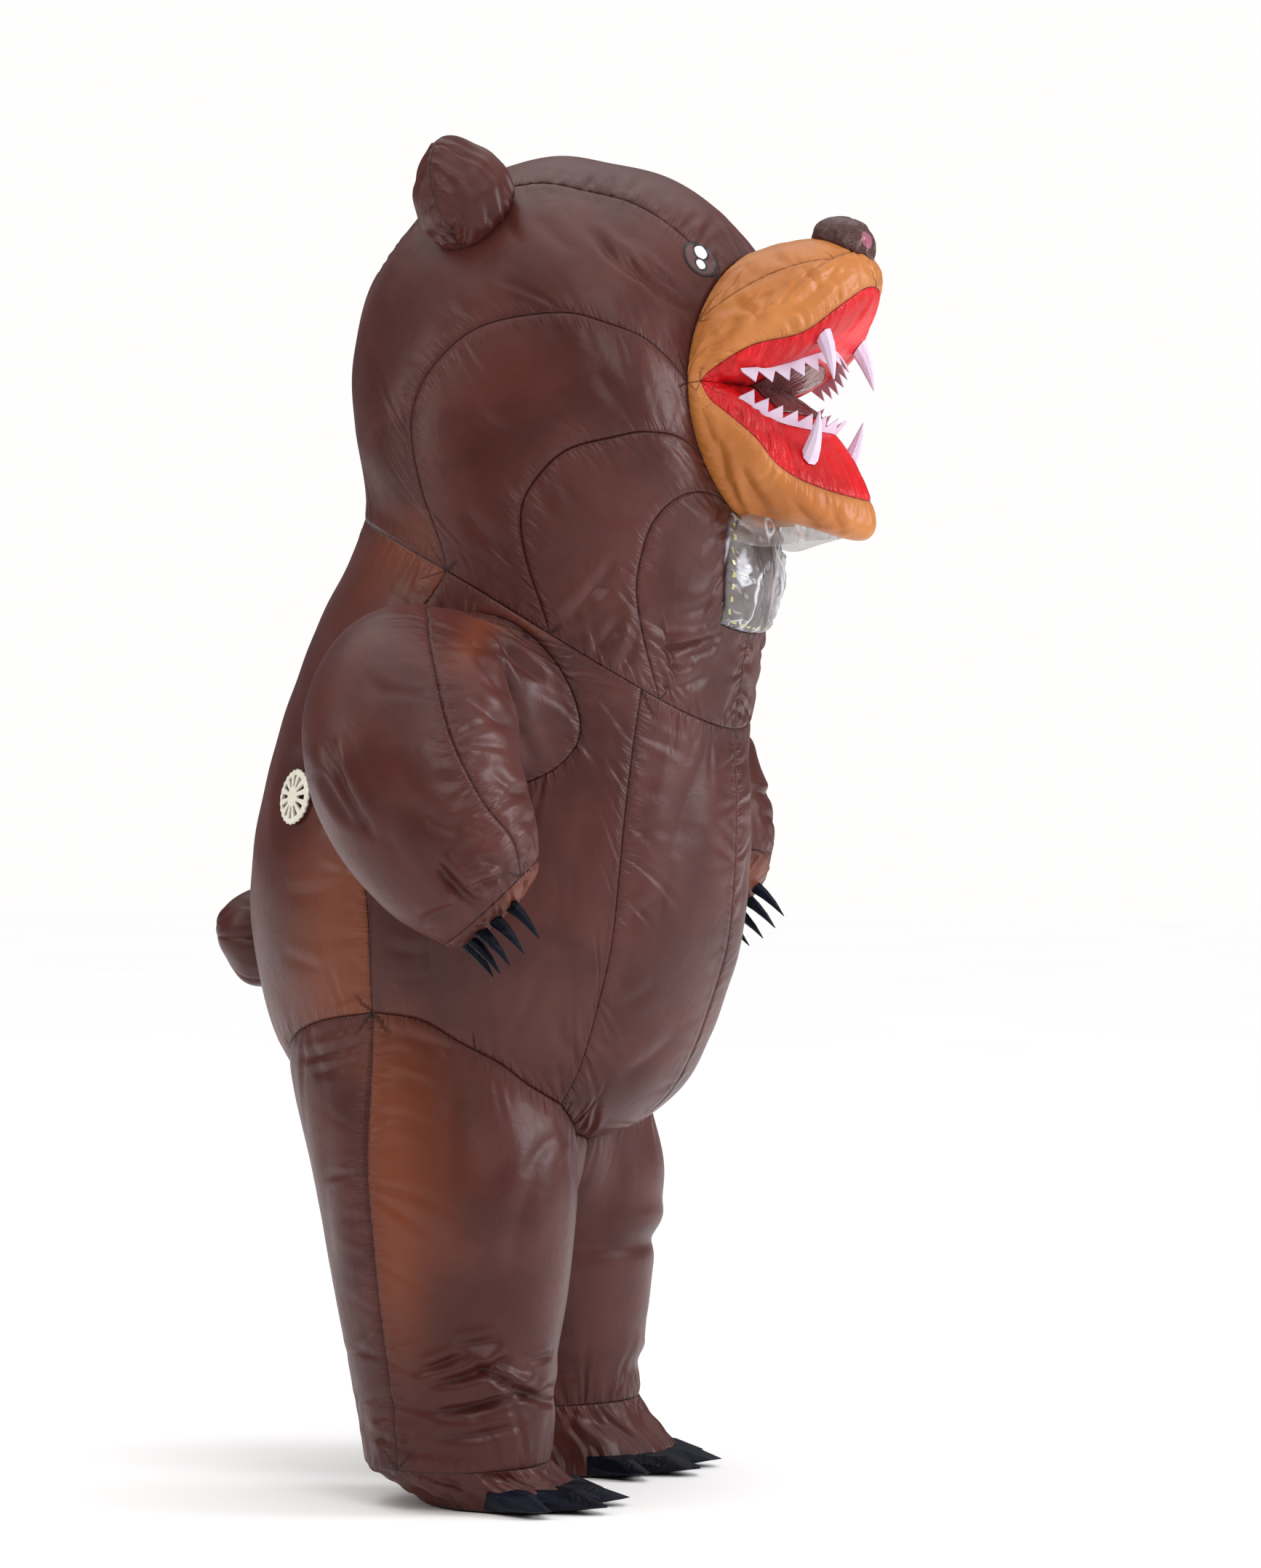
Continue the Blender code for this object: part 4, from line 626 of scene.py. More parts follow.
def plainMaterial(name):
    s = stuffs[name]
    made, tree, shader, place = newMaterial(name)
    tone = noise(tree, place["Object"], *s["tone"])
    link(tree, shader, ("Base Color",), mixColour(tree, tone, *s["colours"]))
    if "grain" in s:
        grain = noise(tree, place["Object"], *s["grain"])
        link(tree, shader, ("Normal",), bump(tree, grain, s["height"]))
    link(tree, shader, s["shader"], *s["shader"].values())
    return made


vinyl = {
    "crinkle": (11.0, 1.6, 1.1), "drawn": (1.0, 1.0, 0.38), "creaseWide": 0.032, "creaseHeight": 0.045,
    "smooth": (0.340, 0.300, 0.300, 1), "bright": (0.78, 0.80, 0.86, 1), "stitch": (0.46, 0.45, 0.16, 1),
    "stitches": 48.0, "stitchShare": 0.42, "stitchAt": 0.0105, "stitchWide": 0.0022,
    "solid": 0.46, "creaseSolid": 0.34,
}


def vinylMaterial(s):
    # clear film: grey where it is smooth, a painted milky sheen; a painted highlight along its creases;
    # dotted with stitches at its seam
    made, tree, shader, place = newMaterial("clearVinyl")
    tall = tree.nodes.new("ShaderNodeMapping")
    link(tree, tall, ("Vector", "Scale"), place["Object"], s["drawn"])
    crinkle = ridged(tree, noise(tree, tall.outputs[0], *s["crinkle"]))
    crease = fall(tree, crinkle, 0.0, s["creaseWide"])
    # painted highlight along each crease's ridge, over the painted sheen of the smooth film
    colour = mixColour(tree, crease, s["smooth"], s["bright"])
    along, away, _ = parts(tree, place["UV"])
    dash = maths(tree, "LESS_THAN", dashes(tree, along, s["stitches"]), s["stitchShare"])
    stitch = times(tree, dash, maths(tree, "COMPARE", away, s["stitchAt"], s["stitchWide"]))
    colour = mixColour(tree, stitch, colour, s["stitch"])
    # the painted highlight is also more opaque than the rest of the film
    film = maths(tree, "MULTIPLY_ADD", crease, s["creaseSolid"], s["solid"])
    height = bump(tree, crinkle, s["creaseHeight"])
    solid = maths(tree, "MAXIMUM", stitch, film)
    link(tree, shader, ("Base Color", "Alpha", "Normal"), colour, solid, height)
    link(tree, shader, ("Roughness", "Coat Weight", "Coat Roughness"), 0.08, 0.6, 0.05)
    return made


cloths = {slot: coatedCloth(slot + "Nylon", finishes[slot + "Nylon"]) for slot in ("brown", "tan", "red")}
nosePatch = {"patch": (-0.022, -0.668, 0.702), "patchSize": 0.017, "patchColour": (0.300, 0.095, 0.140, 1)}
throatTone = {"dark": (0.120, 0.030, 0.030), "light": (0.260, 0.080, 0.075)}
throatTone.update(roughness=0.16, crinkle=0.7)
noseCloth = coatedCloth("noseCloth", dict(finishes["noseCloth"], **nosePatch), seams=False)
throatCloth = coatedCloth("throatCloth", dict(finishes["noseCloth"], **throatTone), seams=False)
black = coatedCloth("blackCloth", finishes["blackCloth"], seams=False)
cloths["clear"] = vinylMaterial(vinyl)
felt, cream = plainMaterial("whiteFelt"), plainMaterial("creamPlastic")
print("materials made")


def nodeName(name):
    return "".join("_" + letter.lower() if letter.isupper() else letter for letter in name)


def addOne(name, grid, inside, slot, settings, finish=None, node=None, **options):
    piece = makeCloth(name, grid, inside, finish or cloths[slot], settings, **options)
    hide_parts(node or nodeName(name))


def addEnd(end, name, grid, inside, slot, settings, **options):
    # the cut as it is on the right, or mirrored on the left, with that side's own settings
    if end == "Left":
        grid, inside = mirrored(grid), inside * np.array([1, -1, 1])
    addOne(name + end, grid, inside, slot, dict(settings, **settings.get(end.lower(), {})), **options)


def addPair(*panel, **options):
    for end in ("Right", "Left"):
        addEnd(end, *panel, **options)


# ---- trunk
# the panel tables' patches of painted light mark where cloth is lit through from behind, in photo pixels
trunk = {
    "back": {"glow": ((500, 1300, 62, 175, 0.0, 0.95), (440, 1290, 50, 130, 0.0, 0.5),
        (600, 785, 60, 50, 0.5, 0.8), (545, 745, 30, 90, -0.5, 0.35)),
        "folds": ((415, 1440, 520, 1403, 8, 8), (420, 1418, 500, 1390, 6, 6), (395, 1120, 470, 1135, 9, 3),
            (400, 1230, 480, 1215, 10, 3), (430, 1000, 500, 1020, 9, 3), (390, 1310, 450, 1330, 8, 3))},
    "belly": {"puff": 0.005, "gather": 0.8,
        "folds": ((980, 1010, 930, 1180, 16, 3), (960, 1060, 905, 1300, 18, 2.5),
            (850, 1480, 930, 1420, 9, 4), (835, 1390, 900, 1350, 8, 3), (860, 1260, 910, 1230, 8, 2.5),
            (990, 1120, 1020, 1300, 12, 3))},
    "side": {"puff": 0.004, "gather": 0.65,
        "glow": ((735, 850, 60, 26, 0.8, 0.45), (560, 1400, 30, 30, 0.0, 0.3)),
        "folds": ((560, 1380, 590, 1250, 10, 3), (640, 1400, 660, 1320, 9, 3), (700, 1430, 740, 1330, 9, 3),
            (800, 1120, 790, 1270, 14, 3), (760, 1400, 800, 1460, 9, 4), (715, 870, 765, 985, 8, 9),
            (735, 930, 760, 1040, 7, 7), (700, 850, 762, 905, 7, 5), (530, 1300, 590, 1310, 8, 2.5),
            (596, 1205, 594, 1345, 4, 2.2), (528, 1340, 600, 1342, 4, 2))},
}


def makeTrunk(s):
    fine, rows = 7, 168
    middle, outer = seam("front", rows), seam("belly", rows)
    belly = fill(seam("hipBelly", 9 * fine), neck(0, bellyAtNeck, fine), middle, outer)
    addPair("belly", bodyPoint(belly), insideOf["body"], "brown", s["belly"])
    fine, middle, outer = 14, seam("back", rows), seam("side", rows)
    back = fill(seam("hipBack", 8 * fine), neck(sideAtNeck, backAtNeck, fine), outer, middle)
    addPair("back", bodyPoint(back), insideOf["body"], "brown", s["back"])
    addPair("side", sideGrid(fine, 72)[0], insideOf["body"], "brown", s["side"], wrap=True)


armhole = {"ring": 9.6, "angle": 76, "ringReach": 1.25, "angleReach": 21.5}


def sideGrid(fine, steps):
    # from the armhole's loop out to the panel's four seams
    hip = seam("hipSide", 6 * fine)
    middle = len(hip) // 2
    front, rear = seam("belly", 7 * fine), seam("side", 7 * fine)[::-1]
    top = neck(bellyAtNeck, sideAtNeck, fine)
    edge = joined(hip[middle::-1], front, top, rear, hip[: middle - 1 : -1])[:-1]
    centre = np.array([armhole["ring"], armhole["angle"]])
    away = edge - centre
    reach = np.array([armhole["ringReach"], -armhole["angleReach"]])
    turn = np.unwrap(np.arctan2(*(away / reach).T))
    # between the seams' own directions and even steps round the hole
    turn = 0.45 * turn + 0.55 * np.linspace(-np.pi / 2, 1.5 * np.pi, len(edge) + 1)[:-1]
    hole = centre + np.stack([np.sin(turn), np.cos(turn)], -1) * reach
    share = np.linspace(0, 1, steps + 1)[:, None, None] ** 1.15
    grid = (1 - share) * hole[None] + share * edge[None]
    return bodyPoint(grid[::-1]), bodyPoint(hole), turn


makeTrunk(trunk)
print("trunk made")

# ---- head
head = {
    "crown": {"puff": 0.008, "gather": 1.3,
        "folds": ((840, 292, 905, 378, 6, 11), (868, 278, 930, 356, 6, 12), (905, 283, 948, 348, 6, 9),
            (930, 298, 962, 338, 5, 6), (800, 262, 860, 300, 10, 4))},
    "headSide": {"puff": 0.008, "gather": 0.6, "glow": ((575, 735, 40, 40, 0.3, 0.4),),
            "folds": ((812, 318, 880, 388, 7, 9), (848, 340, 915, 408, 6, 9), (875, 350, 930, 400, 5, 6),
                (600, 380, 640, 460, 14, 3), (545, 540, 590, 640, 14, 3), (740, 300, 790, 350, 10, 3.5),
                (690, 290, 720, 340, 9, 3.5), (900, 400, 950, 430, 7, 4), (560, 660, 600, 740, 9, 3))},
    "cheek": {"puff": 0.008, "gather": 0.6,
        "folds": ((640, 700, 700, 760, 10, 3.5), (820, 510, 870, 570, 11, 3), (650, 560, 700, 600, 10, 3))},
    "jowl": {"puff": 0.008, "gather": 0.8, "folds": ((770, 860, 845, 765, 9, 6), (845, 935, 882, 835, 8, 6),
        (905, 785, 965, 712, 8, 6), (810, 900, 850, 850, 7, 5), (820, 680, 870, 720, 10, 3),
        (800, 800, 850, 810, 9, 3), (930, 650, 985, 700, 9, 3))},
    "throat": {"puff": 0.005, "gather": 1.2,
        "folds": ((908, 893, 992, 868, 6, 11), (925, 905, 985, 885, 5, 7), (910, 945, 975, 925, 7, 4),
            (925, 840, 985, 825, 8, 5), (910, 915, 950, 912, 6, 5))},
    "window": {"puff": 0.034, "gather": 1.8, "swell": 0.05, "swellDepth": 0.005, "spacing": 0.8},
}


def makeHead(s):
    fine, rows = 16, 156
    top = muzzle(crownAtMuzzle, topAtMuzzle, fine)
    crown = fill(seam("crownEnd", 3 * fine), top, seam("crown", rows)[::-1], seam("bridge", rows))
    addOne("crown", fullWidth(bodyPoint(crown)), insideOf["head"], "brown", s["crown"])
    counts = {"crown": 6, "crownEnd": 3, "headBack": 3}
    over = joined(*(seam(name, 13 * count) for name, count in counts.items()))
    throat, jowl, cheek = (seam(name, rows) for name in ("throat", "jowl", "cheek"))
    strips = (
        ("jowl", throat, jowl, (throatAtMuzzle, jowlAtMuzzle), (throatAtNeck, cheekAtNeck), 13),
        ("cheek", jowl, cheek, (jowlAtMuzzle, cornerAtMuzzle), (cheekAtNeck, sideAtNeck), 18),
        ("headSide", cheek, over, (cornerAtMuzzle, crownAtMuzzle), (sideAtNeck, backAtNeck), fine),
    )
    for name, low, high, front, rear, cells in strips:
        strip = fill(low, high, muzzle(*front, cells), neck(*rear, cells))
        addPair(name, bodyPoint(strip), insideOf["head"], "brown", s[name])
    above = joined(muzzle(throatAtMuzzle, windowAtMuzzle, 8), seam("windowSide", 32), seam("windowFoot", 24))
    throat = fill(above, neck(throatAtNeck, 0, 8), seam("throat", 120), seam("throatMiddle", 120))
    addPair("throat", bodyPoint(throat), insideOf["head"], "brown", s["throat"])
    top, side, middle = muzzle(windowAtMuzzle, 0, 14), seam("windowSide", 60)[::-1], seam("windowMiddle", 60)
    window = fullWidth(bodyPoint(fill(seam("windowFoot", 42), top, side, middle)))
    addOne("window", window, insideOf["head"], "clear", s["window"])


makeHead(head)
print("head made")

# ---- muzzle and mouth
muzzleSizes = {
    "upperLip": (
        (0.435, 0.222, 1.855), (0.455, 0.215, 1.876), (0.515, 0.192, 1.914), (0.586, 0.145, 1.937),
        (0.633, 0.095, 1.983), (0.661, 0.045, 2.016), (0.668, 0.000, 2.024),
    ),
    "lowerLip": (
        (0.435, 0.222, 1.855), (0.449, 0.216, 1.826), (0.483, 0.206, 1.797), (0.519, 0.190, 1.763),
        (0.548, 0.170, 1.722), (0.578, 0.140, 1.697), (0.614, 0.095, 1.680), (0.642, 0.050, 1.671),
        (0.657, 0.000, 1.667),
    ),
    "throatForward": 0.452, "throatBulge": 0.033, "throatSide": 0.200, "throatHeight": 1.855,
    "bridgeFoot": (0.62, 0.66), "patchGap": 0.0030,
    "throatPatch": {"puff": 0.001, "gather": 0.4, "swell": 0.03, "swellDepth": 0.0012, "tuck": 0.002},
    "side": {"puff": 0.007, "gather": 0.9,
        "folds": ((985, 430, 1080, 392, 7, 7), (1000, 400, 1050, 440, 6, 6), (1085, 425, 1140, 380, 6, 6),
            (975, 480, 1015, 440, 6, 6), (1120, 440, 1160, 390, 5, 6), (960, 510, 985, 460, 6, 5),
            (1030, 455, 1060, 400, 6, 5), (1150, 410, 1180, 380, 5, 5), (1100, 360, 1130, 400, 5, 4))},
    "bridge": {"folds": ((1060, 352, 1105, 372, 6, 5), (1020, 370, 1065, 385, 6, 5),
        (1000, 395, 1040, 380, 6, 4))},
    "jaw": {"puff": 0.005, "gather": 0.8, "folds": ((1020, 640, 1060, 705, 7, 7), (990, 600, 1012, 690, 7, 6),
        (1085, 680, 1125, 722, 7, 6), (1005, 660, 1030, 716, 5, 7), (965, 560, 990, 620, 6, 5),
        (1140, 690, 1160, 730, 6, 5))},
    "lining": {"puff": 0.004, "gather": 1.2,
        "folds": ((975, 515, 1060, 548, 6, 9), (1000, 490, 1060, 520, 8, 5), (990, 560, 1060, 600, 8, 6),
            (1050, 610, 1090, 650, 7, 6))},
}


def bezier(start, towards, back, end, t):
    return (1 - t) ** 3 * start + 3 * t * (1 - t) ** 2 * towards + 3 * t**2 * (1 - t) * back + t**3 * end


def lipAt(column, upper):
    steps = 8 * cornerAtMuzzle
    lip = evenCurve(muzzleSizes["upperLip" if upper else "lowerLip"], steps)
    return rightPoint(*(np.interp(column * 8, np.arange(steps + 1), side) for side in lip.T))


def muzzlePoint(column, t, upper):
    # a bent line from the muzzle's seam (t 0) to the lip (t 1); column 0 is the mouth's corner
    angles = muzzleAngles[cornerAtMuzzle:] if upper else muzzleAngles[cornerAtMuzzle::-1]
    angle = np.interp(column, np.arange(len(angles)), angles)
    start = bodyPoint(np.stack([np.full(angle.shape, float(muzzleRing)), angle], -1))
    end = lipAt(column, upper)
    length = np.linalg.norm(end - start, axis=-1, keepdims=True)
    bend = np.radians(angle)
    push = 0.38 if upper else np.interp(angle, (0, 90), (-0.45, 0.38))
    towards = rightPoint(0.92, push * np.sin(bend), -push * np.cos(bend))
    share = (column / cornerAtMuzzle)[..., None]
    part = share[..., 0]
    outward = rightPoint(0.25 * part, 0.35 * (1 - part), (0.93 if upper else -0.93) * np.minimum(1, 3 * part))
    pull = 0.33 + (0.03 if upper else 0.39) * share
    return bezier(start, start + towards * length * 0.55, end + outward * length * pull, end, t[..., None])


def liningPoint(column, t, upper):
    # a bent line from the lip (t 0) to the fold at the throat (t 1)
    start = lipAt(column, upper)
    bend = column / cornerAtMuzzle * np.pi / 2
    m = muzzleSizes
    forward = m["throatForward"] + m["throatBulge"] * np.sin(bend) ** 2
    end = rightPoint(forward, m["throatSide"] * np.cos(bend), m["throatHeight"])
    length = np.linalg.norm(end - start, axis=-1, keepdims=True)
    fall = -1 if upper else 1
    bulge = np.minimum(1, 3.5 * column / cornerAtMuzzle)[..., None]
    towards = bulge * rightPoint(-0.25 * np.sin(bend), -0.35 * np.cos(bend), fall * 0.9)
    back = bulge * rightPoint(0.85, 0.1 * np.cos(bend), -fall * 0.35)
    return bezier(start, start + towards * length * 0.33, end + back * length * 0.33, end, t[..., None])


def makeMuzzle(s):
    cells, fine = cornerAtMuzzle, 10
    bridge = bridgeAtMuzzle - cornerAtMuzzle
    topCells = cells - bridge
    foot = s["bridgeFoot"]
    knee = (cells - topCells * 0.42, foot[0])
    seamPath = evenCurve(((bridge, 0.0), (bridge + 1.4, 0.33), knee), bridge * fine)
    footPath = evenCurve((knee, (cells - 1.0, foot[1] - 0.01), (cells, foot[1])), topCells * fine)
    lipPath = np.linspace((0, 1), (cells, 1), cells * fine + 1)
    seamEdge = np.linspace((0, 0), (bridge, 0), bridge * fine + 1)
    left = joined(np.linspace((0, 1), (0, 0), fine + 1), seamEdge)
    right = np.linspace((cells, 1), (cells, foot[1]), len(left))
    side = fill(lipPath, joined(seamPath, footPath), left, right)
    addPair("muzzleSide", muzzlePoint(side[..., 0], side[..., 1], True), insideOf["bridge"], "tan", s["side"])
    rear = np.linspace((bridge, 0), (cells, 0), topCells * fine + 1)
    middle = np.linspace((cells, 0), (cells, foot[1]), bridge * fine + 1)
    top = fill(rear, footPath, seamPath, middle)
    top = fullWidth(muzzlePoint(top[..., 0], top[..., 1], True))
    addOne("muzzleBridge", top, insideOf["bridge"], "tan", s["bridge"])
    column, t = np.meshgrid(np.linspace(0, cells, cells * 12 + 1), np.linspace(0, 1, 61))
    addOne("jaw", fullWidth(muzzlePoint(column, t, False)), insideOf["jaw"], "tan", s["jaw"])
    column, t = np.meshgrid(np.linspace(0, cells, cells * fine + 1), np.linspace(0, 1, 57))
    for name, place, upper in (("palate", "bridge", True), ("mouthFloor", "jaw", False)):
        addOne(name, fullWidth(liningPoint(column, t, upper)), insideOf[place], "red", s["lining"])


def makeThroatPatch(s):
    # the linings' own rows on both sides of the fold, moved out
    upper, lower = (surfaces[name][0] for name in ("palate", "mouthFloor"))
    upper, lower = (grid[:, ::-1] if grid[0, 0, 0] > grid[0, -1, 0] else grid for grid in (upper, lower))
    rows, columns = upper.shape[:2]
    first, last, top = int(columns * 7 / 22), int(columns * 15 / 22), int(rows * 0.62)
    grid = np.concatenate([upper[top:, first:last], lower[top:-1, first:last][::-1]])
    normals = gridNormals(grid, False)
    inside = (0.2, 0.0, s["throatHeight"])
    grid = grid + normals * s["patchGap"] * np.sign((normals * (grid - rightPoint(*inside))).sum())
    addOne("throatPatch", grid, inside, "dark", s["throatPatch"], throatCloth)


makeMuzzle(muzzleSizes)
makeThroatPatch(muzzleSizes)
print("muzzle made")

# ---- sleeves and palms
arm = {
    # forward, side, height of the middle, radius
    "sections": (
        (0.040, 0.400, 1.340, 0.160), (0.040, 0.455, 1.338, 0.146), (0.046, 0.510, 1.322, 0.156),
        (0.065, 0.562, 1.278, 0.166), (0.095, 0.605, 1.200, 0.160), (0.135, 0.605, 1.125, 0.147),
        (0.170, 0.590, 1.065, 0.131), (0.205, 0.568, 1.010, 0.098),
    ),
    "twist": -60, "palmBulge": 0.030, "handAxis": (0.28, -0.62, -0.73),
    "front": {"puff": 0.007, "gather": 1.2,
        "glow": ((655, 865, 26, 50, -0.3, 0.6), (690, 850, 30, 18, 0.5, 0.4)),
            "folds": ((650, 880, 705, 962, 8, 22), (676, 868, 745, 935, 7, 14), (640, 872, 690, 905, 6, 8),
                (640, 960, 720, 1010, 8, 8), (690, 1090, 745, 1085, 7, 6), (700, 1190, 755, 1172, 6, 7),
                (690, 1140, 745, 1120, 7, 5),
            (700, 960, 742, 1060, 9, 5), (650, 930, 690, 960, 6, 5), (670, 1060, 730, 1100, 7, 5))},
    "back": {"puff": 0.007, "gather": 1.0,
        "folds": ((600, 1185, 662, 1248, 8, 20), (640, 1218, 695, 1200, 6, 13), (655, 1180, 700, 1190, 6, 8),
            (580, 1262, 630, 1240, 7, 8), (446, 1015, 522, 1155, 8, 12), (446, 1060, 490, 1135, 6, 12),
            (462, 1010, 480, 1080, 6, 6),
            (500, 930, 540, 960, 12, 3), (600, 1070, 670, 1080, 8, 5), (640, 1130, 700, 1150, 7, 6),
            (560, 1100, 640, 1150, 12, 4), (520, 1120, 570, 1200, 9, 4), (590, 950, 640, 970, 9, 3))},
    "palm": {"puff": 0.0, "gather": 1.6, "spacing": 0.7, "swellDepth": 0.003, "swell": 0.07,
        "glow": ((735, 1235, 45, 40, 0.0, 0.9),)},
}


def makeArms(s, hole, turn):
    sections = np.array(s["sections"])
    middles = rightPoint(*sections.T[:3])
    tangents = unit(np.gradient(middles, axis=0))
    tangents[-1] = unit(np.array(s["handAxis"]))
    forward = np.array([0.0, -1.0, 0.0])
    rings = [hole]
    for place in range(1, len(sections)):
        tangent = tangents[place]
        first = unit(forward - (forward @ tangent) * tangent)
        second = np.cross(tangent, first)
        share = min(1.0, place / (len(sections) - 2))
        angle = turn + math.radians(s["twist"]) * share**1.5
        ring = np.cos(angle)[:, None] * first + np.sin(angle)[:, None] * second
        rings.append(middles[place] + sections[place, 3] * ring)
    tube = smoothRows(np.stack(rings), np.linspace(0, len(rings) - 1, 150))
    top = len(turn) // 2
    loop = np.concatenate([tube, tube[:, :1]], axis=1)
    addPair("sleeveFront", loop[:, : top + 1], insideOf["sleeve"], "brown", s["front"])
    addPair("sleeveBack", loop[:, top:], insideOf["sleeve"], "brown", s["back"])
    end = tube[-1]
    middle = end.mean(0)
    shrink = np.cos(np.linspace(0, np.pi / 2, 34))[:, None, None]
    palm = middle + (end - middle) * shrink
    palm = palm + tangents[-1] * np.sqrt(np.clip(1 - shrink**2, 0, 1)) * s["palmBulge"]
    addPair("palm", palm, insideOf["hand"], "brown", s["palm"], wrap=True, pole=True)


# the side panel has more points round its armhole than the arm needs
makeArms(arm, *sideGrid(8, 4)[1:])
print("arms made")

# ---- legs and foot covers
legs = {
    # height, middle forward, middle side, radius forward, radius sideways
    "sections": (
        (0.04, 0.004, 0.215, 0.152, 0.152), (0.12, 0.002, 0.215, 0.158, 0.156),
        (0.22, -0.004, 0.215, 0.168, 0.165), (0.32, -0.008, 0.214, 0.186, 0.180),
        (0.45, -0.012, 0.214, 0.206, 0.191), (0.58, -0.016, 0.214, 0.227, 0.192),
        (0.80, -0.016, 0.214, 0.227, 0.192),
    ),
    "blend": 0.38, "hem": {"Right": 0.068, "Left": 0.120},
    # side, height, depth, half height, middle angle, half spread
    "rings": (
        ("Left", 0.395, 0.010, 0.022, 20, 110), ("Right", 0.175, 0.007, 0.020, 30, 70),
        ("Left", 0.175, 0.006, 0.020, 40, 90),
    ),
    # height, middle forward, half length, half width
    "feet": {
        "Right": ((0.050, 0.020, 0.150, 0.135), (0.020, 0.070, 0.150, 0.110), (0.001, 0.090, 0.142, 0.100)),
        "Left": ((0.085, 0.015, 0.163, 0.150), (0.040, 0.050, 0.175, 0.148), (0.001, 0.062, 0.174, 0.150)),
    },
    "footGathers": 9, "footGatherDepth": 0.006,
    "legFront": {
        "right": {"glow": ((535, 1620, 40, 235, 0.08, 1.0), (590, 1560, 44, 180, 0.10, 0.5)),
            "folds": ((585, 1905, 700, 1866, 7, 15), (600, 1942, 740, 1900, 6, 15),
                (650, 1872, 760, 1930, 6, 13), (565, 1888, 640, 1860, 7, 11), (600, 1978, 720, 1956, 7, 9),
                (620, 1850, 690, 1838, 7, 7), (555, 1420, 640, 1442, 8, 4),
            (760, 1560, 720, 1620, 10, 4), (690, 1925, 757, 1905, 5, 9), (740, 1600, 700, 1760, 14, 4),
            (620, 1500, 640, 1700, 16, 3), (720, 1870, 758, 1860, 5, 6))},
        "left": {"folds": ((590, 1725, 720, 1690, 7, 9), (600, 1745, 700, 1725, 7, 6),
            (560, 1880, 640, 1860, 8, 6), (640, 1900, 740, 1880, 7, 7))}},
    "legBack": {"glow": ((510, 1450, 40, 50, 0.0, 0.3),),
        "folds": ((415, 1455, 525, 1418, 7, 9), (430, 1475, 500, 1450, 8, 5), (470, 1860, 545, 1840, 8, 4),
            (490, 1925, 560, 1897, 7, 6), (450, 1560, 470, 1760, 14, 3), (500, 1980, 560, 1960, 7, 5))},
    "footCover": {"puff": 0.0, "gather": 1.8, "spacing": 0.8, "swell": 0.06, "swellDepth": 0.004,
        "held": "gathered"},
}


def legPoint(height, angle, side, s):
    table = smoothRows(s["sections"], np.linspace(0, len(s["sections"]) - 1, 120))
    forward, across, long, wide = [np.interp(height, table[:, 0], table[:, axis]) for axis in range(1, 5)]
    fold = np.zeros_like(height)
    for where, level, depth, tall, middle, spread in s["rings"]:
        if where == side:
            away = (np.degrees(angle) - middle + 180) % 360 - 180
            up = (height - level) / tall
            shape = np.exp(-(up**2)) - 0.6 * np.exp(-((up - 2) ** 2))
            fold = fold + depth * shape * np.exp(-((away / spread) ** 2))
    return rightPoint(forward + (long - fold) * np.cos(angle), across + (wide - fold) * np.sin(angle), height)


def makeLegs(s):
    fine = 9
    hips = (("hipBelly", 9), ("hipSide", 6), ("hipBack", 8))
    belly, side, back = (bodyPoint(seam(name, cells * fine)) for name, cells in hips)
    front, rear = belly[0].copy(), back[-1].copy()
    front[0] = rear[0] = 0
    crotch = np.linspace(rear, front, 4 * fine + 1)
    belly[0], back[-1] = front, rear
    loop = joined(crotch[2 * fine:], belly, side, back, crotch[: 2 * fine + 1])
    _, forward, across, long, wide = s["sections"][-1]
    angle = np.unwrap(np.arctan2((-loop[:, 0] - across) / wide, (-loop[:, 1] - forward) / long))
    split = (2 + 15) * fine
    for end in ("Right", "Left"):
        share = np.linspace(0, 1, 150)[:, None]
        height = loop[:, 2] + (s["hem"][end] - loop[:, 2]) * share
        blend = np.clip(share / s["blend"], 0, 1)
        blend = (blend * blend * (3 - 2 * blend))[..., None]
        tube = legPoint(height, np.broadcast_to(angle, height.shape), end, s)
        tube[..., :2] = (1 - blend) * loop[None, :, :2] + blend * tube[..., :2]
        feet = [tube[-1]]
        depths = np.linspace(s["footGatherDepth"], 0, 3)
        for (level, middle, longFoot, wideFoot), depth in zip(s["feet"][end], depths):
            gather = 1 - depth / longFoot * np.cos(s["footGathers"] * angle)
            forward = middle + longFoot * gather * np.cos(angle)
            feet.append(rightPoint(forward, s["sections"][0][2] + wideFoot * gather * np.sin(angle), level))
        foot = smoothRows(np.stack(feet), np.linspace(0, 3, 40))[:, :-1]
        cuts = {"legFront": tube[:, : split + 1], "legBack": tube[:, split:], "footCover": foot}
        for name, grid in cuts.items():
            addEnd(end, name, grid, insideOf["leg"], "brown", s[name], wrap=name == "footCover")


makeLegs(legs)
print("legs made")


# ---- pieces that lie on the skin
def skinTree(*names):
    points, quads, start = [], [], 0
    for name in names:
        grid, _, wrap = surfaces[name]
        rows, columns = grid.shape[:2]
        quads.append(gridQuads(rows, columns, wrap) + start)
        points.append(grid.reshape(-1, 3))
        start += rows * columns
    return BVHTree.FromPolygons(np.concatenate(points).tolist(), np.concatenate(quads).tolist())


skinGap = 0.0008


def laidOver(tree, points, gap=skinGap):
    flat = np.asarray(points, float).reshape(-1, 3)
    found = [tree.find_nearest(Vector(point)) for point in flat]
    placed = [np.array(place) + np.array(normal) * gap for place, normal, _, _ in found]
    return np.array(placed).reshape(np.shape(points))


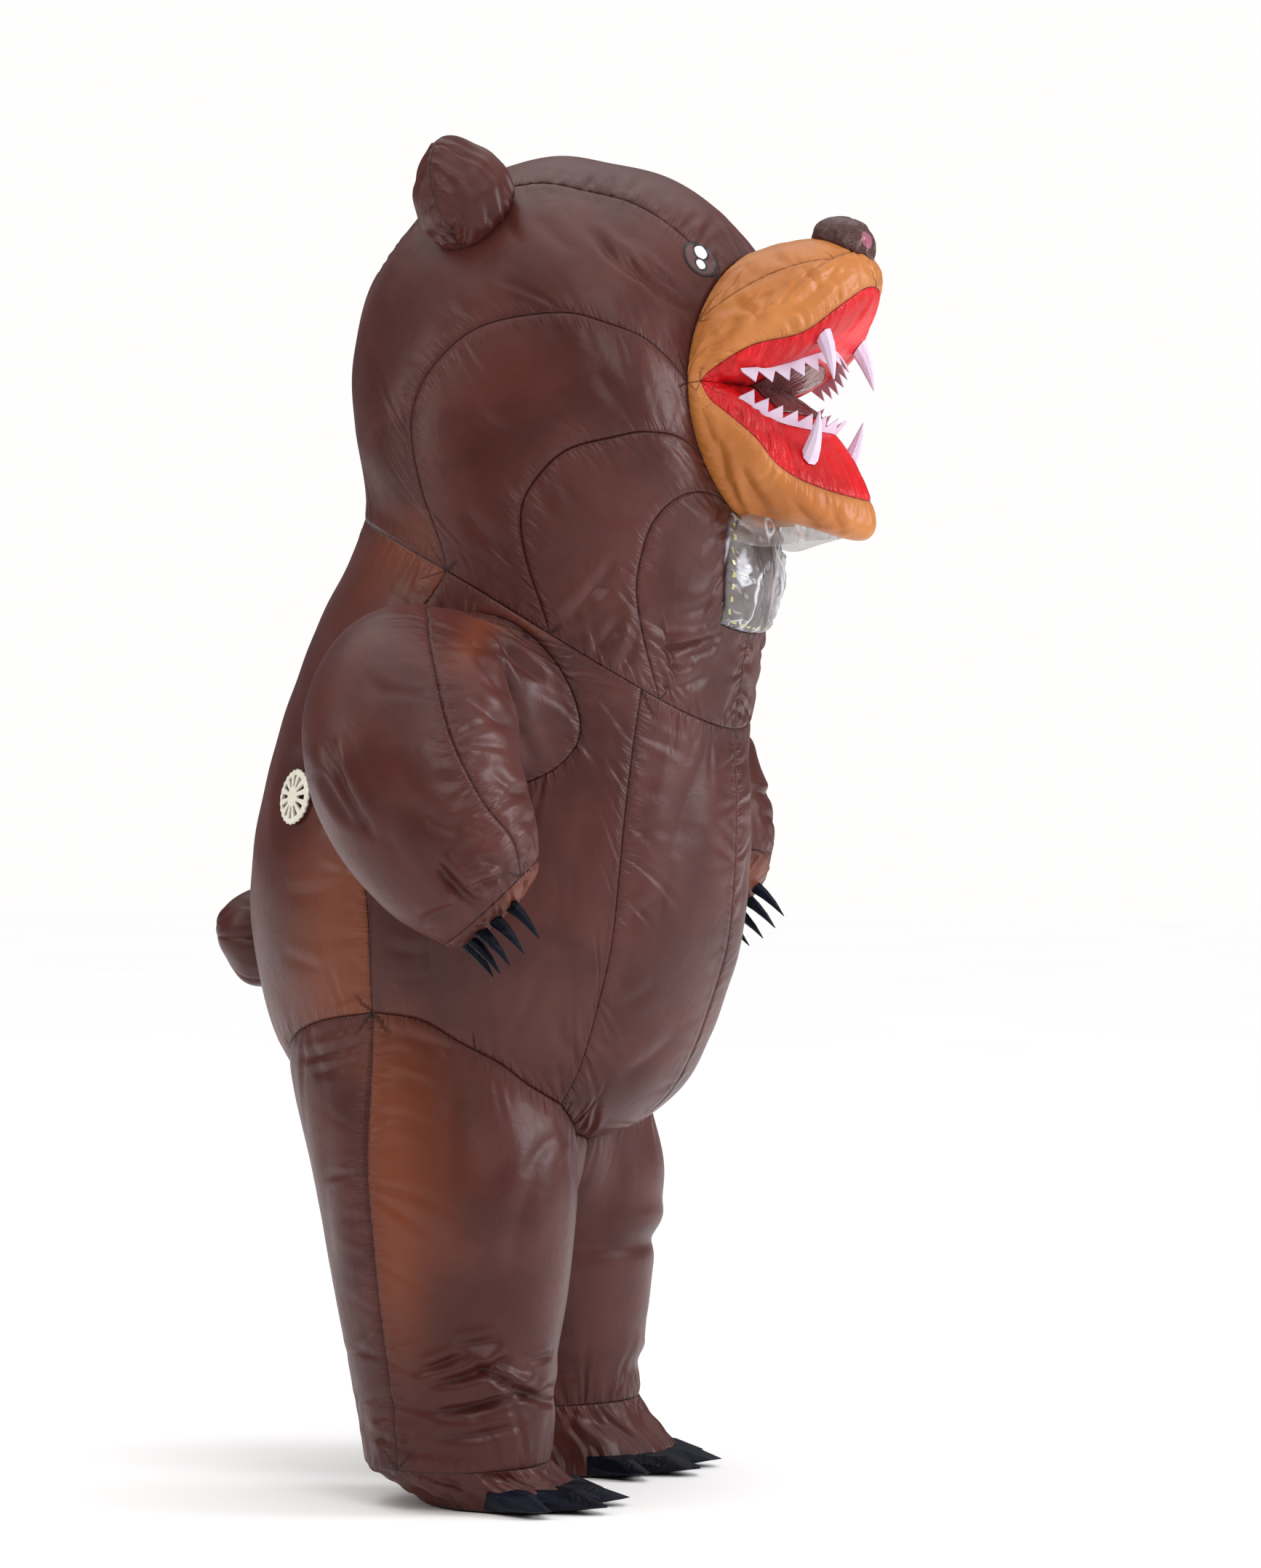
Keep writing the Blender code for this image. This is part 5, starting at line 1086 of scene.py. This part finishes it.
ears = {
    "ring": 15.9, "angle": 136, "width": 0.185, "height": 0.150, "depth": 0.130, "rimStart": 0.030,
    "foot": 0.43, "fullness": 0.30, "lean": (-0.10, 0.10, 0.35),
    "cloth": {"puff": 0.003, "gather": 2.0, "spacing": 0.7, "swell": 0.06, "swellDepth": 0.003},
}


def makeEars(s):
    place = np.array([s["ring"], s["angle"]])
    base = bodyPoint(place)
    lengthwise = bodyPoint(place + [0.05, 0]) - bodyPoint(place - [0.05, 0])
    across = bodyPoint(place + [0, 1]) - bodyPoint(place - [0, 1])
    outward = unit(np.cross(across, lengthwise))
    up = unit(outward * np.sign(outward[2]) + np.array(s["lean"]))
    thick = unit(np.array([0.0, -1.0, 0.0]) + up * up[1])
    wide = np.cross(thick, up)
    tree = skinTree("crown", "headSideRight")
    cells, rows = 64, 40
    turned = np.linspace(0, np.pi, cells + 1)[None, :, None]
    rise = np.linspace(0, 1, rows + 1)[:, None, None]
    inside = base + up * s["height"] / 2
    for name, sign in (("earFront", 1), ("earBack", -1)):
        out = sign * thick * np.sin(turned) * s["depth"]
        foot = laidOver(tree, base + wide * np.cos(turned) * s["width"] * s["foot"] + out / 2)
        ends = base + wide * np.cos(turned) * s["width"] / 2
        rim = ends + up * (s["rimStart"] + (s["height"] - s["rimStart"]) * np.sin(turned) ** 0.8)
        grid = (1 - rise) * foot + rise * rim
        grid = grid + out * np.sin(np.pi * rise) ** 0.8 * s["fullness"]
        middle = inside - sign * thick * 0.02
        addPair(name, grid, (-middle[1], -middle[0], middle[2]), "brown", s["cloth"])


makeEars(ears)

tailSizes = {
    "foot": (-0.428, 0.930), "radius": 0.086, "gores": 6, "stand": 0.018, "draw": 0.06,
    "cloth": {"puff": 0.0, "gather": 1.6, "swell": 0.07, "swellDepth": 0.005},
}


def circle(count):
    return np.linspace(0, 2 * np.pi, count, endpoint=False)


def makeTail(s):
    # rings of a ball whose radius dips at each gore's seam
    tree = skinTree("backRight", "backLeft")
    spin = circle(120)
    gore = 1 - s["draw"] * (1 - np.abs(np.sin(spin * s["gores"] / 2)) ** 0.45)
    lift = np.radians(np.concatenate([np.linspace(-12, 88, 46), [90]]))[:, None]
    ring = s["radius"] * np.cos(lift) * gore
    away = s["stand"] + s["radius"] * np.sin(lift)
    grid = rightPoint(s["foot"][0] - away, ring * np.cos(spin), s["foot"][1] + ring * np.sin(spin))
    grid[0] = laidOver(tree, grid[0])
    inside = (s["foot"][0] - s["stand"], 0.0, s["foot"][1])
    addOne("tail", grid, inside, "brown", s["cloth"], wrap=True, pole=True)


makeTail(tailSizes)

noseSizes = {
    "middle": (0.616, 2.092), "slope": 0.20, "length": 0.118, "width": 0.112, "rise": 0.040, "fullness": 2.6,
    "cloth": {
        "puff": 0.0, "gather": 0.9, "spacing": 0.6, "swell": 0.05, "swellDepth": 0.002, "tuck": 0.002,
    },
}


def makeNose(s):
    # an oval dome on the muzzle's front end: its rise follows (1 - share^fullness)^(1/fullness)
    tree = skinTree("muzzleBridge", "muzzleSideRight", "muzzleSideLeft")
    forward = unit(np.array([0.0, -1.0, -s["slope"]]))
    up = np.array([0.0, forward[2], -forward[1]])
    spin = circle(64)[None, :, None]
    share = np.sin(np.linspace(np.pi / 2, 0, 24))[:, None, None]
    beside = np.array([1.0, 0.0, 0.0]) * s["width"] / 2
    oval = share * (np.cos(spin) * forward * s["length"] / 2 + np.sin(spin) * beside)
    under = laidOver(tree, rightPoint(s["middle"][0], 0.0, s["middle"][1]) + oval)
    under[-1] = under[-1].mean(axis=0)
    grid = under + up * s["rise"] * (1 - share ** s["fullness"]) ** (1 / s["fullness"])
    inside = (s["middle"][0] - 0.03, 0.0, s["middle"][1] - 0.03)
    addOne("nosePad", grid, inside, "dark", s["cloth"], noseCloth, "nose", wrap=True, pole=True)


makeNose(noseSizes)
print("ears, tail and nose made")

# ---- stuffed pieces and small parts keep their solids, smoothed, with their own finish
small = {"weld": 0.00005, "edge": 0.0016, "segments": 3, "sharper": 18}


def dress(node, finish, smooth=True):
    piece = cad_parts[node]
    piece.data.materials.clear()
    piece.data.materials.append(finish)
    if smooth:
        weld = piece.modifiers.new("weld", "WELD")
        weld.merge_threshold = small["weld"]
        edge = piece.modifiers.new("edge", "BEVEL")
        edge.width, edge.segments = small["edge"], small["segments"]
        edge.limit_method, edge.angle_limit = "ANGLE", math.radians(small["sharper"])


for jaw in ("upper", "lower"):
    dress(f"teeth_{jaw}", felt, smooth=False)
    for end in ("right", "left"):
        dress(f"canine_{jaw}_{end}", felt)
for end in ("right", "left"):
    for number in range(1, 6):
        dress(f"claw_{end}_{number}", black)
    dress(f"toe_claws_{end}", black)
dress("fan_cover", cream, smooth=False)
print("small parts dressed")

# ---- loose vinyl flap under the chin
flap = {
    "top": ((0.470, 0.110, 1.640), (0.520, 0.075, 1.655), (0.580, 0.045, 1.650), (0.625, 0.000, 1.628)),
    "foot": ((0.452, 0.120, 1.600), (0.500, 0.085, 1.590), (0.560, 0.045, 1.600), (0.610, 0.000, 1.606)),
    "crinkle": 0.0035, "rows": 31, "slack": 1.05,
}


def makeFlap(s):
    # two curved edges joined by straight lines, rippled by three crossing waves
    top, foot = (rightPoint(*evenCurve(s[name], 50).T) for name in ("top", "foot"))
    share = np.linspace(0, 1, s["rows"])[:, None]
    grid = fullWidth((1 - share[..., None]) * top + share[..., None] * foot)
    normals = gridNormals(grid, False)
    x, y, z = np.moveaxis(grid, -1, 0)
    ripple = np.sin(y * 190 + 2 * np.sin(x * 70)) + np.sin(x * 120 + z * 160)
    grid = grid + normals * (ripple * s["crinkle"] * np.sin(np.pi * share))[..., None]
    quads = gridQuads(*grid.shape[:2], False)
    piece = putPiece("chinFlap", grid.reshape(-1, 3), quads, cloths["clear"])


makeFlap(flap)
print("chin flap made")

# ---- eyes: a printed oval on the crown's front corner
eye = {"spot": (963, 357), "wide": 0.0340, "tall": 0.0335, "tilt": -35, "gap": 0.0012}


def eyeMaterial():
    # a ring of ink and two white highlights, as ovals in the eye's own UV
    made, tree, shader, place = newMaterial("printedEye")
    across, up, _ = parts(tree, place["UV"])

    def inOval(x, y, wide, tall):
        squares = []
        for value, middle, size in ((across, x, wide), (up, y, tall)):
            share = maths(tree, "DIVIDE", maths(tree, "SUBTRACT", value, middle), size)
            squares.append(maths(tree, "POWER", share, 2.0))
        return maths(tree, "LESS_THAN", maths(tree, "ADD", *squares), 1.0)

    ink, white = (0.010, 0.008, 0.012, 1), (0.80, 0.82, 0.86, 1)
    tone = noise(tree, place["Object"], 90.0, 2.0)
    cloth = mixColour(tree, tone, (0.075, 0.028, 0.026, 1), (0.120, 0.052, 0.046, 1))
    colour = mixColour(tree, inOval(0, 0, 0.87, 0.87), ink, cloth)
    for x, y, wide, tall in ((-0.08, 0.42, 0.36, 0.40), (0.10, -0.32, 0.27, 0.27)):
        colour = mixColour(tree, inOval(x, y, wide + 0.13, tall + 0.13), colour, ink)
        colour = mixColour(tree, inOval(x, y, wide, tall), colour, white)
    link(tree, shader, ("Base Color", "Roughness"), colour, 0.35)
    return made


def makeEyes(s):
    # rings of a small oval dropped on the cloth
    names = ("crown", "headSideRight")
    tree = skinTree(*names)
    every = np.concatenate([surfaces[name][0].reshape(-1, 3) for name in names])
    near = every[every[:, 0] < 0]
    across, down = seenFromPhoto(near)
    middle = near[np.argmin((across - s["spot"][0]) ** 2 + (down - s["spot"][1]) ** 2)]
    normal = np.array(tree.find_nearest(Vector(middle))[1])
    side = unit(np.cross(np.array([0, 0, 1.0]), normal))
    up = np.cross(normal, side)
    tilt = math.radians(s["tilt"])
    side, up = side * math.cos(tilt) + up * math.sin(tilt), up * math.cos(tilt) - side * math.sin(tilt)
    share = np.linspace(1, 0, 14)[:, None, None]
    spin = circle(64)[None, :, None]
    flat = middle + share * (np.cos(spin) * side * s["wide"] + np.sin(spin) * up * s["tall"])
    placed = laidOver(tree, flat, s["gap"])
    uv = np.concatenate([share * np.cos(spin), share * np.sin(spin)], -1).reshape(-1, 2)
    finish = eyeMaterial()
    for end, points, spread in (("Right", placed, 1), ("Left", mirrored(placed), -1)):
        turned = uv if spread > 0 else uv.reshape(placed.shape[0], -1, 2)[:, ::-1].reshape(-1, 2)
        quads = gridQuads(points.shape[0], points.shape[1], True)
        a, b, c = (points.reshape(-1, 3)[quads[0][k]] for k in (0, 1, 2))
        if (np.cross(b - a, c - b) @ (normal * np.array([spread, 1, 1]))) < 0:
            quads = quads[:, ::-1]
        piece = putPiece("eye" + end, points.reshape(-1, 3), quads, finish, turned)


makeEyes(eye)
print("eyes made")

# ---- floor and light
studio = {
    "half": 30, "drop": 0.002, "overhead": 1.95, "room": 0.11, "skyEnds": (0.35, 1.0),
    "sky": (1.0, 0.99, 0.985, 1),
    # name, place, size, power, tint; each faces the bear
    "lamps": (
        ("key", (-3.6, -3.4, 2.6), 2.6, 85.0, (1.0, 0.97, 0.95)),
        ("front", (1.5, -5.0, 1.2), 2.4, 150.0, (0.96, 0.97, 1.0)),
        ("rear", (-3.0, 4.2, 1.6), 2.2, 60.0, (1.0, 0.93, 0.88)),
    ),
}


def makeStudio(s):
    corners = np.array([[-1, -1, 0], [1, -1, 0], [1, 1, 0], [-1, 1, 0]]) * s["half"] - [0, 0, s["drop"]]
    floor = putMesh("floor", corners, np.array([[0, 1, 2, 3]]))
    floor.data.materials.append(plainMaterial("paleFloor"))
    world = bpy.data.worlds.new("studio")
    world.use_nodes = True
    tree = world.node_tree
    back = tree.nodes["Background"]
    back.inputs[0].default_value = s["sky"]
    # a wide soft light overhead and a dim room round it; the backdrop itself stays white
    upward = parts(tree, tree.nodes.new("ShaderNodeTexCoord").outputs["Generated"])[2]
    overhead = ramp(tree, upward, *s["skyEnds"])
    dim = maths(tree, "MULTIPLY_ADD", overhead, s["overhead"] - s["room"], s["room"])
    seen = tree.nodes.new("ShaderNodeLightPath").outputs["Is Camera Ray"]
    tree.links.new(maths(tree, "MAXIMUM", dim, seen), back.inputs[1])
    scene.world = world
    for name, spot, size, power, tint in s["lamps"]:
        data = bpy.data.lights.new(name, "AREA")
        data.shape, data.size, data.energy, data.color = "DISK", size, power, tint
        lamp = bpy.data.objects.new(name, data)
        lamp.location = spot
        lamp.rotation_euler = (Vector(spot) - Vector((0, 0, -0.1))).to_track_quat("Z", "Y").to_euler()
        scene.collection.objects.link(lamp)


makeStudio(studio)
print("studio made")
